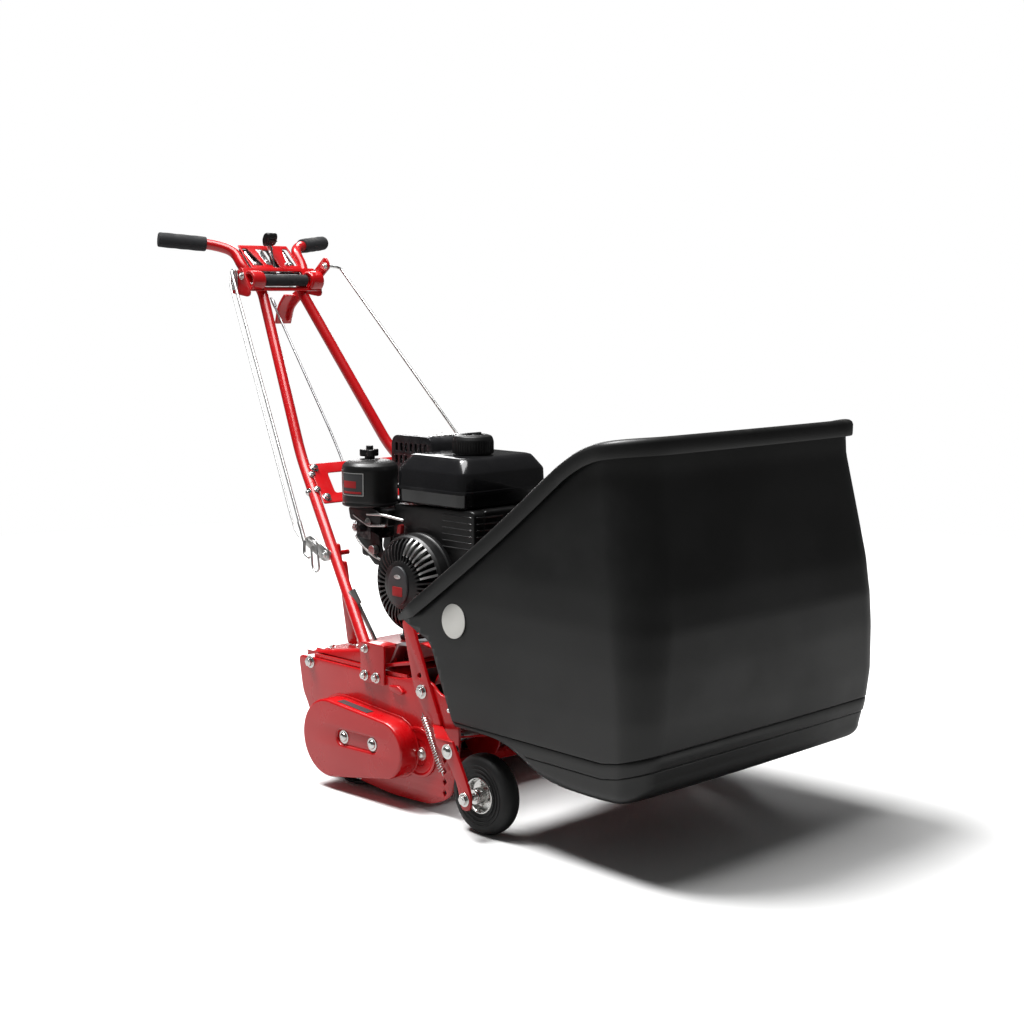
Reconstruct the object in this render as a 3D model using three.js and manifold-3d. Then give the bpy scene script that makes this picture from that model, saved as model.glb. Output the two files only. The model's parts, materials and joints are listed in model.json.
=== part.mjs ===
// Petrol reel mower with a front grass catcher. Millimetres, +Z up, front of the mower towards -Y.
// The right side of the machine, seen by the person behind the handle, is at -X.
import * as THREE from "three";
import { mergeVertices } from "three/addons/utils/BufferGeometryUtils.js";
import Module from "manifold-3d";

const wasm = await Module();
wasm.setup();

// ---------------------------------------------------------------- driving dimensions
const ORIGIN_Y = 334.8; // from the front axle to the middle of the whole machine
const GAP = 0.4; // between pieces that touch on the real mower
const SIDE_INNER = 257; // inner face of a side plate, from the middle of the mower
const SIDE_THICK = 6;
const SIDE_OUTER = SIDE_INNER + SIDE_THICK;
const DRUM = { y: 395, z: 100, r: 100, half: 248, shaft: 12.5 };
const REEL = { y: 216, z: 104, r: 62, half: 252, shaft: 10, blades: 7, twist: 1.1 };
const CHAIN_PITCH = 9.525;
const REEL_TEETH = 10;
const DRUM_TEETH = 30;
const CHAIN_X = 285;
const ARM_PIVOT = { y: 170, z: 218 };
const WHEEL = { y: 0, z: 70, r: 70, inner: 256, outer: 294, rim: 40 };
const ARM_THICK = 6;
const ARM_LOW = 320; // inner face of the lower, outboard run of a wheel arm
const CRANK = { y: 357, z: 371 };
const BELT_X = 182;
const TUBE_R = 11;
const PIVOT = { y: 945, z: 930 }; // clutch lever pivots on the console
const CATCHER = {
  front: -350, half: 298, corner: 72, bow: 10, taper: 20, wall: 5, swell: [20, 38],
  fullness: [[60, 0], [131, 0], [194, 0.6], [279, 1], [371, 1], [444, 0.85], [552, 0.45], [640, 0], [760, 0]],
};

const paint = (colour, roughness, metalness) =>
  new THREE.MeshStandardMaterial({ color: colour, roughness, metalness });
const RED = paint(0xc8201c, 0.3, 0.2);
const BLACK = paint(0x111112, 0.45, 0.0);
const RUBBER = paint(0x18181a, 0.85, 0.0);
const STEEL = paint(0xb9bbbd, 0.35, 0.9);
const CAST = paint(0x33353a, 0.6, 0.5);
const ZINC = paint(0xd5d6d4, 0.28, 0.95);

// ---------------------------------------------------------------- building blocks
const mower = new THREE.Group();

// A closed mesh as a manifold solid, turned the right way out.
function solid(geometry) {
  const bare = geometry.index ? geometry.toNonIndexed() : geometry.clone();
  for (const name of Object.keys(bare.attributes)) if (name !== "position") bare.deleteAttribute(name);
  const merged = mergeVertices(bare, 1e-3);
  const corners = [];
  for (let i = 0; i < merged.index.count; i += 3) {
    const [a, b, c] = merged.index.array.slice(i, i + 3);
    if (a !== b && b !== c && c !== a) corners.push(a, b, c);
  }
  const tris = new Uint32Array(corners);
  const make = () =>
    new wasm.Manifold(
      new wasm.Mesh({
        numProp: 3,
        vertProperties: new Float32Array(merged.attributes.position.array),
        triVerts: tris,
      }),
    );
  const made = make();
  if (made.volume() > 0) return made;
  for (let i = 0; i < tris.length; i += 3) [tris[i + 1], tris[i + 2]] = [tris[i + 2], tris[i + 1]];
  return make();
}

function geometryOf(manifold) {
  const mesh = manifold.getMesh();
  const geometry = new THREE.BufferGeometry();
  geometry.setAttribute("position", new THREE.BufferAttribute(new Float32Array(mesh.vertProperties), 3));
  geometry.setIndex(new THREE.BufferAttribute(new Uint32Array(mesh.triVerts), 1));
  return geometry;
}

const join = (...parts) => parts.reduce((a, b) => a.add(b));
const cut = (body, ...tools) => tools.reduce((a, b) => a.subtract(b), body);

function add(name, shape, material) {
  const mesh = new THREE.Mesh(geometryOf(shape), material.clone());
  mesh.name = name;
  mower.add(mesh);
}

function box(x0, x1, y0, y1, z0, z1) {
  const g = new THREE.BoxGeometry(Math.abs(x1 - x0), Math.abs(y1 - y0), Math.abs(z1 - z0));
  return solid(g.translate((x0 + x1) / 2, (y0 + y1) / 2, (z0 + z1) / 2));
}

// A round bar along X, between two X values.
function barX(y, z, r, x0, x1, sides = 16) {
  const g = new THREE.CylinderGeometry(r, r, Math.abs(x1 - x0), sides);
  return solid(g.rotateZ(Math.PI / 2).translate((x0 + x1) / 2, y, z));
}

function barZ(x, y, r, z0, z1, sides = 32) {
  const g = new THREE.CylinderGeometry(r, r, z1 - z0, sides);
  return solid(g.rotateX(Math.PI / 2).translate(x, y, (z0 + z1) / 2));
}

// A solid of revolution about the X axis line at (y, z). Profile points are [radius, x].
function turnedX(profile, y, z, segments = 20) {
  const g = new THREE.LatheGeometry(profile.map(([r, x]) => new THREE.Vector2(r, x)), segments);
  return solid(g.rotateZ(-Math.PI / 2).translate(0, y, z));
}

// An upright solid of revolution at (x, y). Profile points are [radius, z].
function turnedZ(profile, x, y, segments = 22) {
  const g = new THREE.LatheGeometry(profile.map(([r, h]) => new THREE.Vector2(r, h)), segments);
  return solid(g.rotateX(Math.PI / 2).translate(x, y, 0));
}

// A polygon with rounded corners. Points are [u, v] or [u, v, corner radius].
function outline(points, radius = 0) {
  const shape = new THREE.Shape();
  const at = points.map((p) => new THREE.Vector2(p[0], p[1]));
  points.forEach((p, i) => {
    const here = at[i];
    const r = p[2] ?? radius;
    const before = at[(i + at.length - 1) % at.length];
    const after = at[(i + 1) % at.length];
    const towards = (to) => {
      const d = to.clone().sub(here);
      return here.clone().add(d.multiplyScalar(Math.min(r, d.length() * 0.45) / d.length()));
    };
    const start = r ? towards(before) : here;
    const end = r ? towards(after) : here;
    if (i === 0) shape.moveTo(start.x, start.y);
    else shape.lineTo(start.x, start.y);
    if (r) shape.quadraticCurveTo(here.x, here.y, end.x, end.y);
  });
  shape.closePath();
  return shape;
}

// A many-sided hole that a round bar of the same radius just fits through.
function ring(u, v, r, count = 14) {
  const corner = r / Math.cos(Math.PI / count);
  const points = [];
  for (let i = 0; i < count; i++) {
    const t = (i / count) * Math.PI * 2;
    points.push(new THREE.Vector2(u + corner * Math.cos(t), v + corner * Math.sin(t)));
  }
  return new THREE.Path(points);
}

// A flat shape drawn in Y and Z, given a thickness along X.
function plateX(shape, x0, x1, options = {}) {
  const low = Math.min(x0, x1);
  const high = Math.max(x0, x1);
  const bevel = options.bevel ?? 0;
  const g = new THREE.ExtrudeGeometry(shape, {
    depth: high - low - 2 * bevel,
    bevelEnabled: bevel > 0,
    bevelThickness: bevel,
    bevelSize: bevel,
    bevelOffset: -bevel,
    bevelSegments: 1,
    curveSegments: options.curve ?? 2,
  });
  const toYZ = new THREE.Matrix4().set(0, 0, 1, low + bevel, 1, 0, 0, 0, 0, 1, 0, 0, 0, 0, 0, 1);
  return solid(g.applyMatrix4(toYZ));
}

// A flat shape drawn in X and Y, given a height along Z.
function plateZ(shape, z0, z1, bevel = 0, curve = 3) {
  const g = new THREE.ExtrudeGeometry(shape, {
    depth: z1 - z0 - 2 * bevel,
    bevelEnabled: bevel > 0,
    bevelThickness: bevel,
    bevelSize: bevel,
    bevelOffset: -bevel,
    bevelSegments: 1,
    curveSegments: curve,
  });
  return solid(g.translate(0, 0, z0 + bevel));
}

// The loop that a belt or chain makes round two wheels lying in one plane.
function loopShape(a, ra, b, rb, steps = 14) {
  const dy = b.y - a.y;
  const dz = b.z - a.z;
  const base = Math.atan2(dz, dy);
  const lean = Math.acos((ra - rb) / Math.hypot(dy, dz));
  const points = [];
  for (let i = 0; i <= steps; i++) {
    const t = base + lean + ((2 * Math.PI - 2 * lean) * i) / steps;
    points.push(new THREE.Vector2(a.y + ra * Math.cos(t), a.z + ra * Math.sin(t)));
  }
  for (let i = 0; i <= steps; i++) {
    const t = base - lean + (2 * lean * i) / steps;
    points.push(new THREE.Vector2(b.y + rb * Math.cos(t), b.z + rb * Math.sin(t)));
  }
  return new THREE.Shape(points);
}

function loopBand(a, ra, b, rb, thick, x0, x1) {
  const outer = loopShape(a, ra + thick, b, rb + thick);
  outer.holes.push(new THREE.Path(loopShape(a, ra, b, rb).getPoints()));
  return plateX(outer, x0, x1);
}

// A line through straight runs with rounded bends, kept as a list of key points: only the bends
// are divided, so a long straight run costs one step.
class BentLine extends THREE.Curve {
  constructor(points, bend, divisions) {
    super();
    const at = points.map((p) => new THREE.Vector3(...p));
    this.keys = [at[0]];
    for (let i = 1; i < at.length - 1; i++) {
      const back = at[i - 1].clone().sub(at[i]);
      const on = at[i + 1].clone().sub(at[i]);
      const r = Math.min(bend, back.length() * 0.45, on.length() * 0.45);
      const start = at[i].clone().add(back.setLength(r));
      const end = at[i].clone().add(on.setLength(r));
      this.keys.push(...new THREE.QuadraticBezierCurve3(start, at[i], end).getPoints(divisions));
    }
    this.keys.push(at[at.length - 1]);
  }
  getPoint(t) {
    const last = this.keys.length - 1;
    const i = Math.min(Math.floor(t * last + 1e-9), last - 1);
    return this.keys[i].clone().lerp(this.keys[i + 1], t * last - i);
  }
  getUtoTmapping(u) {
    return u;
  }
}

function rod(points, r, bend = 20, sides = 12, divisions = 3) {
  const path = new BentLine(points, bend, divisions);
  const section = new THREE.Shape();
  for (let i = 0; i < sides; i++) {
    const t = (i / sides) * Math.PI * 2;
    if (i === 0) section.moveTo(r * Math.cos(t), r * Math.sin(t));
    else section.lineTo(r * Math.cos(t), r * Math.sin(t));
  }
  section.closePath();
  const steps = path.keys.length - 1;
  return solid(new THREE.ExtrudeGeometry(section, { steps, extrudePath: path, bevelEnabled: false }));
}

const sides = [
  ["right", -1],
  ["left", 1],
];

// ---------------------------------------------------------------- frame
function sidePlate(s) {
  const shape = outline(
    [
      [533, 229, 14], [240, 228, 30], [200, 237, 12], [152, 237, 16], [135, 219, 20], [104, 214, 24],
      [84, 180, 20], [81, 140, 20],
      [94, 66, 16], [105, 36, 20], [153, 14, 24], [261, 10, 30], [336, 17, 20], [400, 24, 20],
      [470, 60, 20], [508, 141, 20], [521, 160, 20],
    ],
    10,
  );
  shape.holes.push(ring(DRUM.y, DRUM.z, DRUM.shaft + GAP));
  shape.holes.push(ring(REEL.y, REEL.z, 23));
  shape.holes.push(ring(ARM_PIVOT.y, ARM_PIVOT.z, 6 + GAP));
  for (let i = 0; i < 4; i++) {
    const hole = new THREE.Path();
    const z = 103 - i * 20;
    hole.moveTo(124, z).lineTo(119, z + 6).lineTo(114, z).lineTo(119, z - 6).closePath();
    shape.holes.push(hole);
  }
  return plateX(shape, s * SIDE_INNER, s * SIDE_OUTER);
}

// One folded sheet: a flat top with both sides sloping down to the side plates, and a pressed
// bracket on each side that laps over the outer face of the side plate and holds the handle.
function engineDeck() {
  const deck = new THREE.Shape();
  const top = 243;
  const low = 231;
  const t = 3;
  deck.moveTo(-SIDE_INNER + GAP, low).lineTo(-222, top).lineTo(222, top).lineTo(SIDE_INNER - GAP, low);
  deck.lineTo(SIDE_INNER - GAP - t, low - 1).lineTo(220.5, top - t).lineTo(-220.5, top - t);
  deck.lineTo(-SIDE_INNER + GAP + t, low - 1).closePath();
  const sheet = new THREE.ExtrudeGeometry(deck, { depth: 270, bevelEnabled: false });
  const toXZ = new THREE.Matrix4().set(1, 0, 0, 0, 0, 0, -1, 495, 0, 1, 0, 0, 0, 0, 0, 1);
  const parts = [solid(sheet.applyMatrix4(toXZ))];
  for (const [, s] of sides) {
    const outer = SIDE_OUTER + GAP;
    const strap = outline([[275, 210], [341, 210], [341, 284], [275, 284]], 4);
    parts.push(plateX(strap, s * outer, s * (outer + 5)));
    parts.push(box(s * (outer + 4), s * 236, 275.5, 326.5, 278.5, 283.5));
    parts.push(box(s * 236, s * 241, 275.5, 326.5, 234, 283.5));
  }
  const slot = box(BELT_X - 16, BELT_X + 16, 296, 488, 220, 300);
  return cut(join(...parts), slot);
}

// A bent sheet over the front of the reel that turns the clippings into the catcher.
function frontShield() {
  const bends = [[203, 300], [163, 295], [139, 262], [157, 229]];
  const inner = [[159.2, 230.6], [142, 262.4], [164.6, 292.4], [203, 297.2]];
  return plateX(outline([...bends, ...inner]), -250, 250);
}

for (const [side, s] of sides) add(`side_plate_${side}`, sidePlate(s), RED);
add("rear_tie_bar", barX(506, 214, 9, -SIDE_INNER + GAP, SIDE_INNER - GAP), RED);
add("engine_deck", engineDeck(), RED);
add("front_shield", frontShield(), RED);
add("bed_bar", box(-SIDE_INNER + GAP, SIDE_INNER - GAP, 258, 284, 43, 56), RED);
add("bed_knife", box(-250, 250, 228, 272, 38, 42.6), STEEL);

// ---------------------------------------------------------------- reel
const SPROCKET_X0 = CHAIN_X - 3;
const SPROCKET_X1 = CHAIN_X + 3;

function sprocket(centre, teeth, bore) {
  const pitchRadius = CHAIN_PITCH / (2 * Math.sin(Math.PI / teeth));
  const points = [];
  for (let i = 0; i < teeth * 2; i++) {
    const t = (i / (teeth * 2)) * Math.PI * 2;
    const r = pitchRadius + (i % 2 ? 2.8 : -2.6);
    points.push(new THREE.Vector2(centre.y + r * Math.cos(t), centre.z + r * Math.sin(t)));
  }
  const shape = new THREE.Shape(points);
  shape.holes.push(ring(centre.y, centre.z, bore));
  return plateX(shape, -SPROCKET_X1, -SPROCKET_X0, { curve: 8 });
}

const toothTip = (teeth) => CHAIN_PITCH / (2 * Math.sin(Math.PI / teeth)) + 3.8;

function reelBlades() {
  const length = REEL.half * 2;
  const steps = 6;
  const pieces = [];
  for (let b = 0; b < REEL.blades; b++) {
    const strip = new THREE.BoxGeometry(13, 3.6, length, 1, 1, steps);
    const position = strip.attributes.position;
    for (let i = 0; i < position.count; i++) {
      const along = position.getZ(i) / length + 0.5;
      const turn = (b / REEL.blades) * Math.PI * 2 + along * REEL.twist;
      const r = position.getX(i) + REEL.r - 6.6;
      const side = position.getY(i);
      position.setXYZ(
        i,
        position.getZ(i),
        REEL.y + r * Math.cos(turn) - side * Math.sin(turn),
        REEL.z + r * Math.sin(turn) + side * Math.cos(turn),
      );
    }
    pieces.push(solid(strip));
  }
  for (const x of [-245, -82, 82, 245]) {
    const bore = REEL.shaft + GAP;
    pieces.push(turnedX([[bore, x - 2], [52, x - 2], [52, x + 2], [bore, x + 2], [bore, x - 2]], REEL.y, REEL.z, 16));
  }
  return join(...pieces);
}

add("reel_shaft", barX(REEL.y, REEL.z, REEL.shaft, -296, 272), STEEL);
add("reel_blades", reelBlades(), RED);
add("reel_sprocket", sprocket(REEL, REEL_TEETH, REEL.shaft + GAP), STEEL);
for (const [side, s] of sides) {
  const bore = REEL.shaft + 0.6;
  const profile = [[bore, s * 257.4], [21.6, s * 257.4], [21.6, s * 262.6], [bore, s * 262.6], [bore, s * 257.4]];
  add(`reel_bearing_${side}`, turnedX(profile, REEL.y, REEL.z), STEEL);
}

// ---------------------------------------------------------------- drum
// A hollow steel roller: a shell and two webs on a through shaft, each web with lightening holes.
function drum() {
  const h = DRUM.half;
  const right = -h;
  const left = 160;
  const shell = turnedX(
    [[DRUM.r - 5, right], [DRUM.r, right], [DRUM.r, left], [DRUM.r - 5, left], [DRUM.r - 5, right]],
    DRUM.y, DRUM.z, 32,
  );
  const web = (x) => barX(DRUM.y, DRUM.z, DRUM.r - 3, x - 3, x + 3, 32);
  const shaft = barX(DRUM.y, DRUM.z, DRUM.shaft, -296, 272);
  const holes = [0, 1, 2, 3].map((i) => {
    const t = (i * Math.PI) / 2 + Math.PI / 4;
    return barX(DRUM.y + 55 * Math.cos(t), DRUM.z + 55 * Math.sin(t), 14, right - 5, left + 5, 8);
  });
  return join(cut(join(shell, web(right + 12), web(left - 12)), ...holes), shaft);
}

function vPulley(centre, r, x, bore) {
  const w = 9;
  return turnedX(
    [
      [bore, x - w], [r, x - w], [r, x - w + 2], [r - 9, x - 4], [r - 9, x + 4],
      [r, x + w - 2], [r, x + w], [bore, x + w], [bore, x - w],
    ],
    centre.y, centre.z, 24,
  );
}

const DRUM_PULLEY_R = 84;
const CRANK_PULLEY_R = 36;
add("drum", drum(), CAST);
add("drum_sprocket", sprocket(DRUM, DRUM_TEETH, DRUM.shaft + GAP), STEEL);
add("drum_pulley", vPulley(DRUM, DRUM_PULLEY_R, BELT_X, DRUM.shaft + GAP), CAST);

// ---------------------------------------------------------------- drives
add(
  "reel_chain",
  loopBand(REEL, toothTip(REEL_TEETH), DRUM, toothTip(DRUM_TEETH), 5, -CHAIN_X - 2.5, -CHAIN_X + 2.5),
  STEEL,
);

// A pressed cover over the chain, open towards the side plate.
function chainCase() {
  const front = { y: 241, z: 104 };
  const rear = { y: 397, z: 97 };
  const shell = plateX(loopShape(front, 53, rear, 73), -302, -SIDE_OUTER - GAP, { bevel: 3 });
  const hollow = plateX(loopShape(front, 50, rear, 70), -299, -SIDE_OUTER + 2);
  const recess = plateX(loopShape({ y: 268, z: 108 }, 9, { y: 356, z: 106 }, 9), -310, -300.4);
  return cut(shell, hollow, recess);
}
add("chain_case", chainCase(), RED);

const crankPulley = join(
  vPulley(CRANK, CRANK_PULLEY_R, BELT_X, 0.01),
  barX(CRANK.y, CRANK.z, 12, 134, BELT_X + 9),
);
add("crank_pulley", crankPulley, STEEL);
add(
  "drive_belt",
  loopBand(CRANK, CRANK_PULLEY_R - 8, DRUM, DRUM_PULLEY_R - 8, 7, BELT_X - 3.4, BELT_X + 3.4),
  RUBBER,
);

// A cover over the belt above the deck, open below and towards the engine.
function beltGuard() {
  const around = (grow) =>
    outline([[300 - grow, 244], [456 + grow, 244], [430 + grow, 400 + grow, 50], [357, 440 + grow, 60],
      [288 - grow, 400 + grow, 50]]);
  return cut(
    plateX(around(0), 162, 197, { bevel: 2 }),
    plateX(around(-3), 150, 194),
    box(150, 194, 306, 450, 236, 250),
  );
}
add("belt_guard", beltGuard(), BLACK);

// ---------------------------------------------------------------- engine
function engineBlock() {
  const sump = plateX(outline([[262, 244], [452, 244], [452, 320], [430, 372], [284, 372], [262, 320]], 10), -72, 118);
  const crankcase = barX(CRANK.y, CRANK.z, 88, -72, 112, 32);
  const head = plateX(outline([[400, 372], [540, 410], [520, 500], [380, 470]], 8), -52, 62);
  const fins = [];
  for (let i = 0; i < 5; i++) {
    const y = 452 + i * 15;
    fins.push(plateX(outline([[y, 372 + i * 3], [y + 4, 373 + i * 3], [y - 20, 512], [y - 24, 511]]), -46, 72));
  }
  const seat = barX(CRANK.y, CRANK.z, 30, 110, 132);
  const pad = box(-60, 90, 290, 430, 440, 519);
  return join(sump, crankcase, head, seat, pad, ...fins);
}

function blowerHousing() {
  const volute = barX(CRANK.y, CRANK.z, 108, -100, -73, 36);
  const hood = plateX(outline([[214, 436], [250, 386], [440, 386], [434, 512], [214, 516]], 14), -100, -73);
  const wrap = plateX(outline([[216, 470], [286, 470], [286, 516], [216, 516]], 8), -74, -30);
  return cut(join(volute, hood, wrap), barX(CRANK.y, CRANK.z, 60, -80, -60));
}

function recoilCover() {
  return turnedX(
    [[0, -152], [34, -152], [62, -147], [80, -134], [86, -118], [87, -100.4], [0, -100.4]],
    CRANK.y, CRANK.z, 24,
  );
}

function fuelTank() {
  const footprint = (inset) =>
    outline(
      [[-110 + inset, 230 + inset], [118 - inset, 230 + inset], [118 - inset, 434 - inset], [-110 + inset, 434 - inset]],
      26,
    );
  const body = plateZ(footprint(0), 520, 612, 8, 5);
  const fuel = plateZ(footprint(6), 526, 604, 4, 5);
  return cut(body, fuel, barZ(-10, 312, 20, 590, 620, 24));
}

function carburettor() {
  const bowl = barZ(-100, 505, 20, 404, 446, 20);
  const body = box(-122, -62, 482, 528, 440, 484);
  const neck = barZ(-100, 510, 18, 480, 504.6, 20);
  return join(bowl, body, neck);
}

function airCleaner() {
  return turnedZ(
    [[0, 505], [53, 505], [55, 508], [55, 580], [50, 589], [40, 593], [12, 595], [12, 601], [22, 603], [22, 618], [0, 622]],
    -100, 510, 22,
  );
}

const muffler = plateX(outline([[452, 548], [552, 548], [552, 622], [452, 622]], 20), 12, 98);
function mufflerGuard() {
  const shell = plateX(outline([[442, 540], [564, 540], [564, 634], [442, 634]], 22), 2, 108);
  const inside = plateX(outline([[445, 520], [561, 520], [561, 631], [445, 631]], 20), 5, 105);
  return cut(shell, inside);
}

add("engine_block", engineBlock(), CAST);
add("blower_housing", blowerHousing(), BLACK);
add("recoil_cover", recoilCover(), BLACK);
add("fuel_tank", fuelTank(), BLACK);
add("carburetor", carburettor(), STEEL);
add("air_cleaner", airCleaner(), BLACK);
add("muffler", muffler, STEEL);
add("muffler_guard", mufflerGuard(), STEEL);
add("fuel_cap", turnedZ([[0, 612.4], [37, 612.4], [39, 616], [39, 648], [35, 652], [0, 652]], -10, 312, 36), BLACK);
add("starter_grip", join(box(-94, -58, 189, 203, 450, 462), barX(196, 456, 6, -98, -54, 12)), BLACK);

// ---------------------------------------------------------------- handle
const HANDLE = [
  [250, 341, 258], [118, 705, 590], [50, 920, 925], [80, 940, 964], [80, 972, 1002], [112, 1002, 1015], [215, 1048, 1025],
];
const HANDLE_SPLIT = 0.83; // where the lower tube ends, along the lowest run
const lerp = (a, b, t) => a.map((v, i) => v + (b[i] - v) * t);

for (const [side, s] of sides) {
  const path = HANDLE.map(([x, y, z]) => [s * x, y, z]);
  const below = lerp(path[0], path[1], HANDLE_SPLIT);
  const above = lerp(path[0], path[1], HANDLE_SPLIT + 0.0015);
  add(`handle_tube_lower_${side}`, rod([path[0], below], TUBE_R, 0, 12), RED);
  const grip = lerp(path[5], path[6], 0.14);
  add(`handle_tube_upper_${side}`, rod([above, ...path.slice(1, 6), path[6]], TUBE_R, 30, 12, 3), RED);
  const sleeve = rod([grip, lerp(path[5], path[6], 1.02)], 15, 0, 14);
  const bore = rod([lerp(path[5], path[6], 0.1), lerp(path[5], path[6], 1.005)], TUBE_R + 1.1, 0, 12);
  add(`grip_${side}`, cut(sleeve, bore), RUBBER);
  const stay = outline([[463, 244], [489, 244], [518, 400], [492, 405]], 6);
  add(`handle_brace_${side}`, plateX(stay, s * 178, s * 174), RED);
}

// A plate with a window, bolted across the front of both tubes.
function crossBrace() {
  const plate = outline([[-150, 0], [150, 0], [128, 104], [-128, 104]], 5);
  plate.holes.push(new THREE.Path(outline([[-108, 24], [108, 24], [96, 78], [-96, 78]], 5).getPoints(2)));
  const g = new THREE.ExtrudeGeometry(plate, { depth: 3, bevelEnabled: false, curveSegments: 2 });
  const along = new THREE.Vector3(0, 364, 332).normalize();
  const out = new THREE.Vector3(0, -332, 364).normalize();
  const frame = new THREE.Matrix4().makeBasis(new THREE.Vector3(1, 0, 0), along, out);
  const start = new THREE.Vector3(0, 600, 494).addScaledVector(out, TUBE_R + 1.2);
  return solid(g.applyMatrix4(frame.setPosition(start)));
}
add("handle_cross_brace", crossBrace(), RED);

// The control console: a slotted slanting panel between the tubes, a windowed front face that
// laps the tubes, and a cheek each side for the clutch lever pivots.
function sheetPlate(shape, low, high, thick) {
  const g = new THREE.ExtrudeGeometry(shape, { depth: thick, bevelEnabled: false, curveSegments: 2 });
  const along = new THREE.Vector3(0, high[0] - low[0], high[1] - low[1]).normalize();
  const out = new THREE.Vector3(1, 0, 0).cross(along);
  const frame = new THREE.Matrix4().makeBasis(new THREE.Vector3(1, 0, 0), along, out);
  return solid(g.applyMatrix4(frame.setPosition(new THREE.Vector3(0, low[0], low[1]))));
}

function consoleBody() {
  const panel = outline([[-66, 0], [66, 0], [64, 76], [-64, 76]], 3);
  const slots = [
    [[-58, 12], [-30, 12], [-46, 66], [-60, 66]],
    [[58, 12], [30, 12], [46, 66], [60, 66]],
    [[-9, 6], [9, 6], [9, 62], [-9, 62]],
  ];
  for (const s of slots) panel.holes.push(new THREE.Path(outline(s, 4).getPoints(2)));
  const face = outline([[-95, 0], [95, 0], [95, 56], [-95, 56]], 3);
  face.holes.push(new THREE.Path(outline([[-58, 9], [58, 9], [58, 48], [-58, 48]], 4).getPoints(2)));
  const cheek = outline([[894, 910], [905, 906], [965, 914], [968, 944], [932, 968], [926, 966]], 4);
  cheek.holes.push(ring(PIVOT.y, PIVOT.z, 5));
  return join(
    sheetPlate(panel, [928, 962], [984, 1013], 3),
    sheetPlate(face, [899, 918], [929, 966], 3),
    plateX(cheek, 92.4, 95),
    plateX(cheek, -95, -92.4),
  );
}
add("console", consoleBody(), RED);

// ---------------------------------------------------------------- controls
// Foam bar that engages the drive, on two arms and a cross shaft, with the clevis arm outboard.
function bail() {
  const foam = barX(905, 941, 10, -51, 51, 14);
  const arm = outline([[902, 946], [902, 936], [942, 925], [950, 930], [946, 936]], 3);
  return join(
    foam,
    plateX(arm, -44, -40),
    plateX(arm, 40, 44),
    barX(PIVOT.y, PIVOT.z, 4, -104, 44, 16),
    plateX(outline([[939, 926], [951, 926], [951, 964], [939, 964]], 5), -103, -98.5),
  );
}
add("bail", bail(), BLACK);

const LEVER_X = 98;
function reelClutchLever() {
  const shape = outline([
    [882, 982, 8], [878, 968, 8], [942, 920, 10], [975, 905, 20], [1010, 880, 20], [1020, 852, 6],
    [1040, 852, 4], [1052, 872, 10], [1040, 895, 20], [1000, 918, 20], [958, 940, 10], [894, 992, 8],
  ]);
  return join(
    plateX(shape, LEVER_X, LEVER_X + 5, { curve: 4 }),
    barX(PIVOT.y, PIVOT.z, 4, 86, LEVER_X + 2, 16),
  );
}
add("reel_clutch_lever", reelClutchLever(), RED);

add("drive_rod", rod([[-108, 945, 958], [-213, 574, 438]], 3.5, 0, 8), ZINC);
add("reel_rod", rod([[109, 888, 972], [134, 884, 968], [223, 300, 336]], 3.5, 8, 8), ZINC);

function bellCrank() {
  const shape = outline([[505, 407], [524, 403], [584, 432], [582, 444], [560, 450], [510, 429]], 6);
  shape.holes.push(ring(518, 417, 5));
  return plateX(shape, -207.5, -203.5, { curve: 5 });
}
add("bell_crank", bellCrank(), ZINC);

function idlerArm() {
  const shape = outline([[292, 328], [332, 292], [350, 296], [348, 312], [308, 346], [294, 344]], 6);
  shape.holes.push(ring(338, 302, 5));
  return plateX(shape, 213, 217, { curve: 5 });
}
add("idler_arm", idlerArm(), ZINC);

function throttleLever() {
  const blade = plateX(outline([[934, 950], [942, 946], [966, 1022], [954, 1024]], 3), -3, 3);
  const knob = plateX(outline([[947, 1017], [966, 1013], [968, 1030], [958, 1040], [940, 1040]], 5), -12, 12);
  return join(blade, knob);
}
add("throttle_lever", throttleLever(), BLACK);
add(
  "throttle_cable",
  rod([[0, 955, 904], [0, 726, 585], [-20, 640, 470], [-92, 575, 455], [-92, 530, 460]], 2.5, 90, 8, 4),
  RUBBER,
);

// ---------------------------------------------------------------- front frame and wheels
function wheelArm(s) {
  const plateIn = s * (SIDE_OUTER + GAP + 0.2);
  const plateOut = s * (SIDE_OUTER + GAP + 0.2 + ARM_THICK);
  const upper = outline(
    [[222, 334, 4], [212, 347, 8], [198, 342, 6], [148, 225, 20], [122, 168, 4], [122, 158], [150, 158], [190, 215, 20]],
    2,
  );
  upper.holes.push(ring(ARM_PIVOT.y, ARM_PIVOT.z, 6 + GAP));
  upper.holes.push(ring(203, 318, 5.4));
  const lower = outline(
    [[72, 164], [31, 164], [2, 112, 10], [-14, 80, 10], [-13, 52, 10], [8, 50, 10], [18, 92, 20], [42, 128, 20], [72, 152, 8]],
  );
  lower.holes.push(ring(WHEEL.y, WHEEL.z, 6.4));
  const shelf = new THREE.Shape();
  shelf.moveTo(plateIn, 150).lineTo(plateIn, 122);
  shelf.lineTo(s * (ARM_LOW + ARM_THICK), 31).lineTo(s * (ARM_LOW + ARM_THICK), 72).closePath();
  return join(
    plateX(upper, plateIn, plateOut, { curve: 3 }),
    plateX(lower, s * ARM_LOW, s * (ARM_LOW + ARM_THICK), { curve: 3 }),
    plateZ(shelf, 158, 164),
  );
}

function wheelBolt(s) {
  const x = (v) => s * v;
  return turnedX(
    [[0, x(252)], [6, x(252)], [6, x(326.4)], [10, x(326.4)], [10, x(333)], [0, x(333)]],
    WHEEL.y, WHEEL.z, 14,
  );
}

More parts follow.
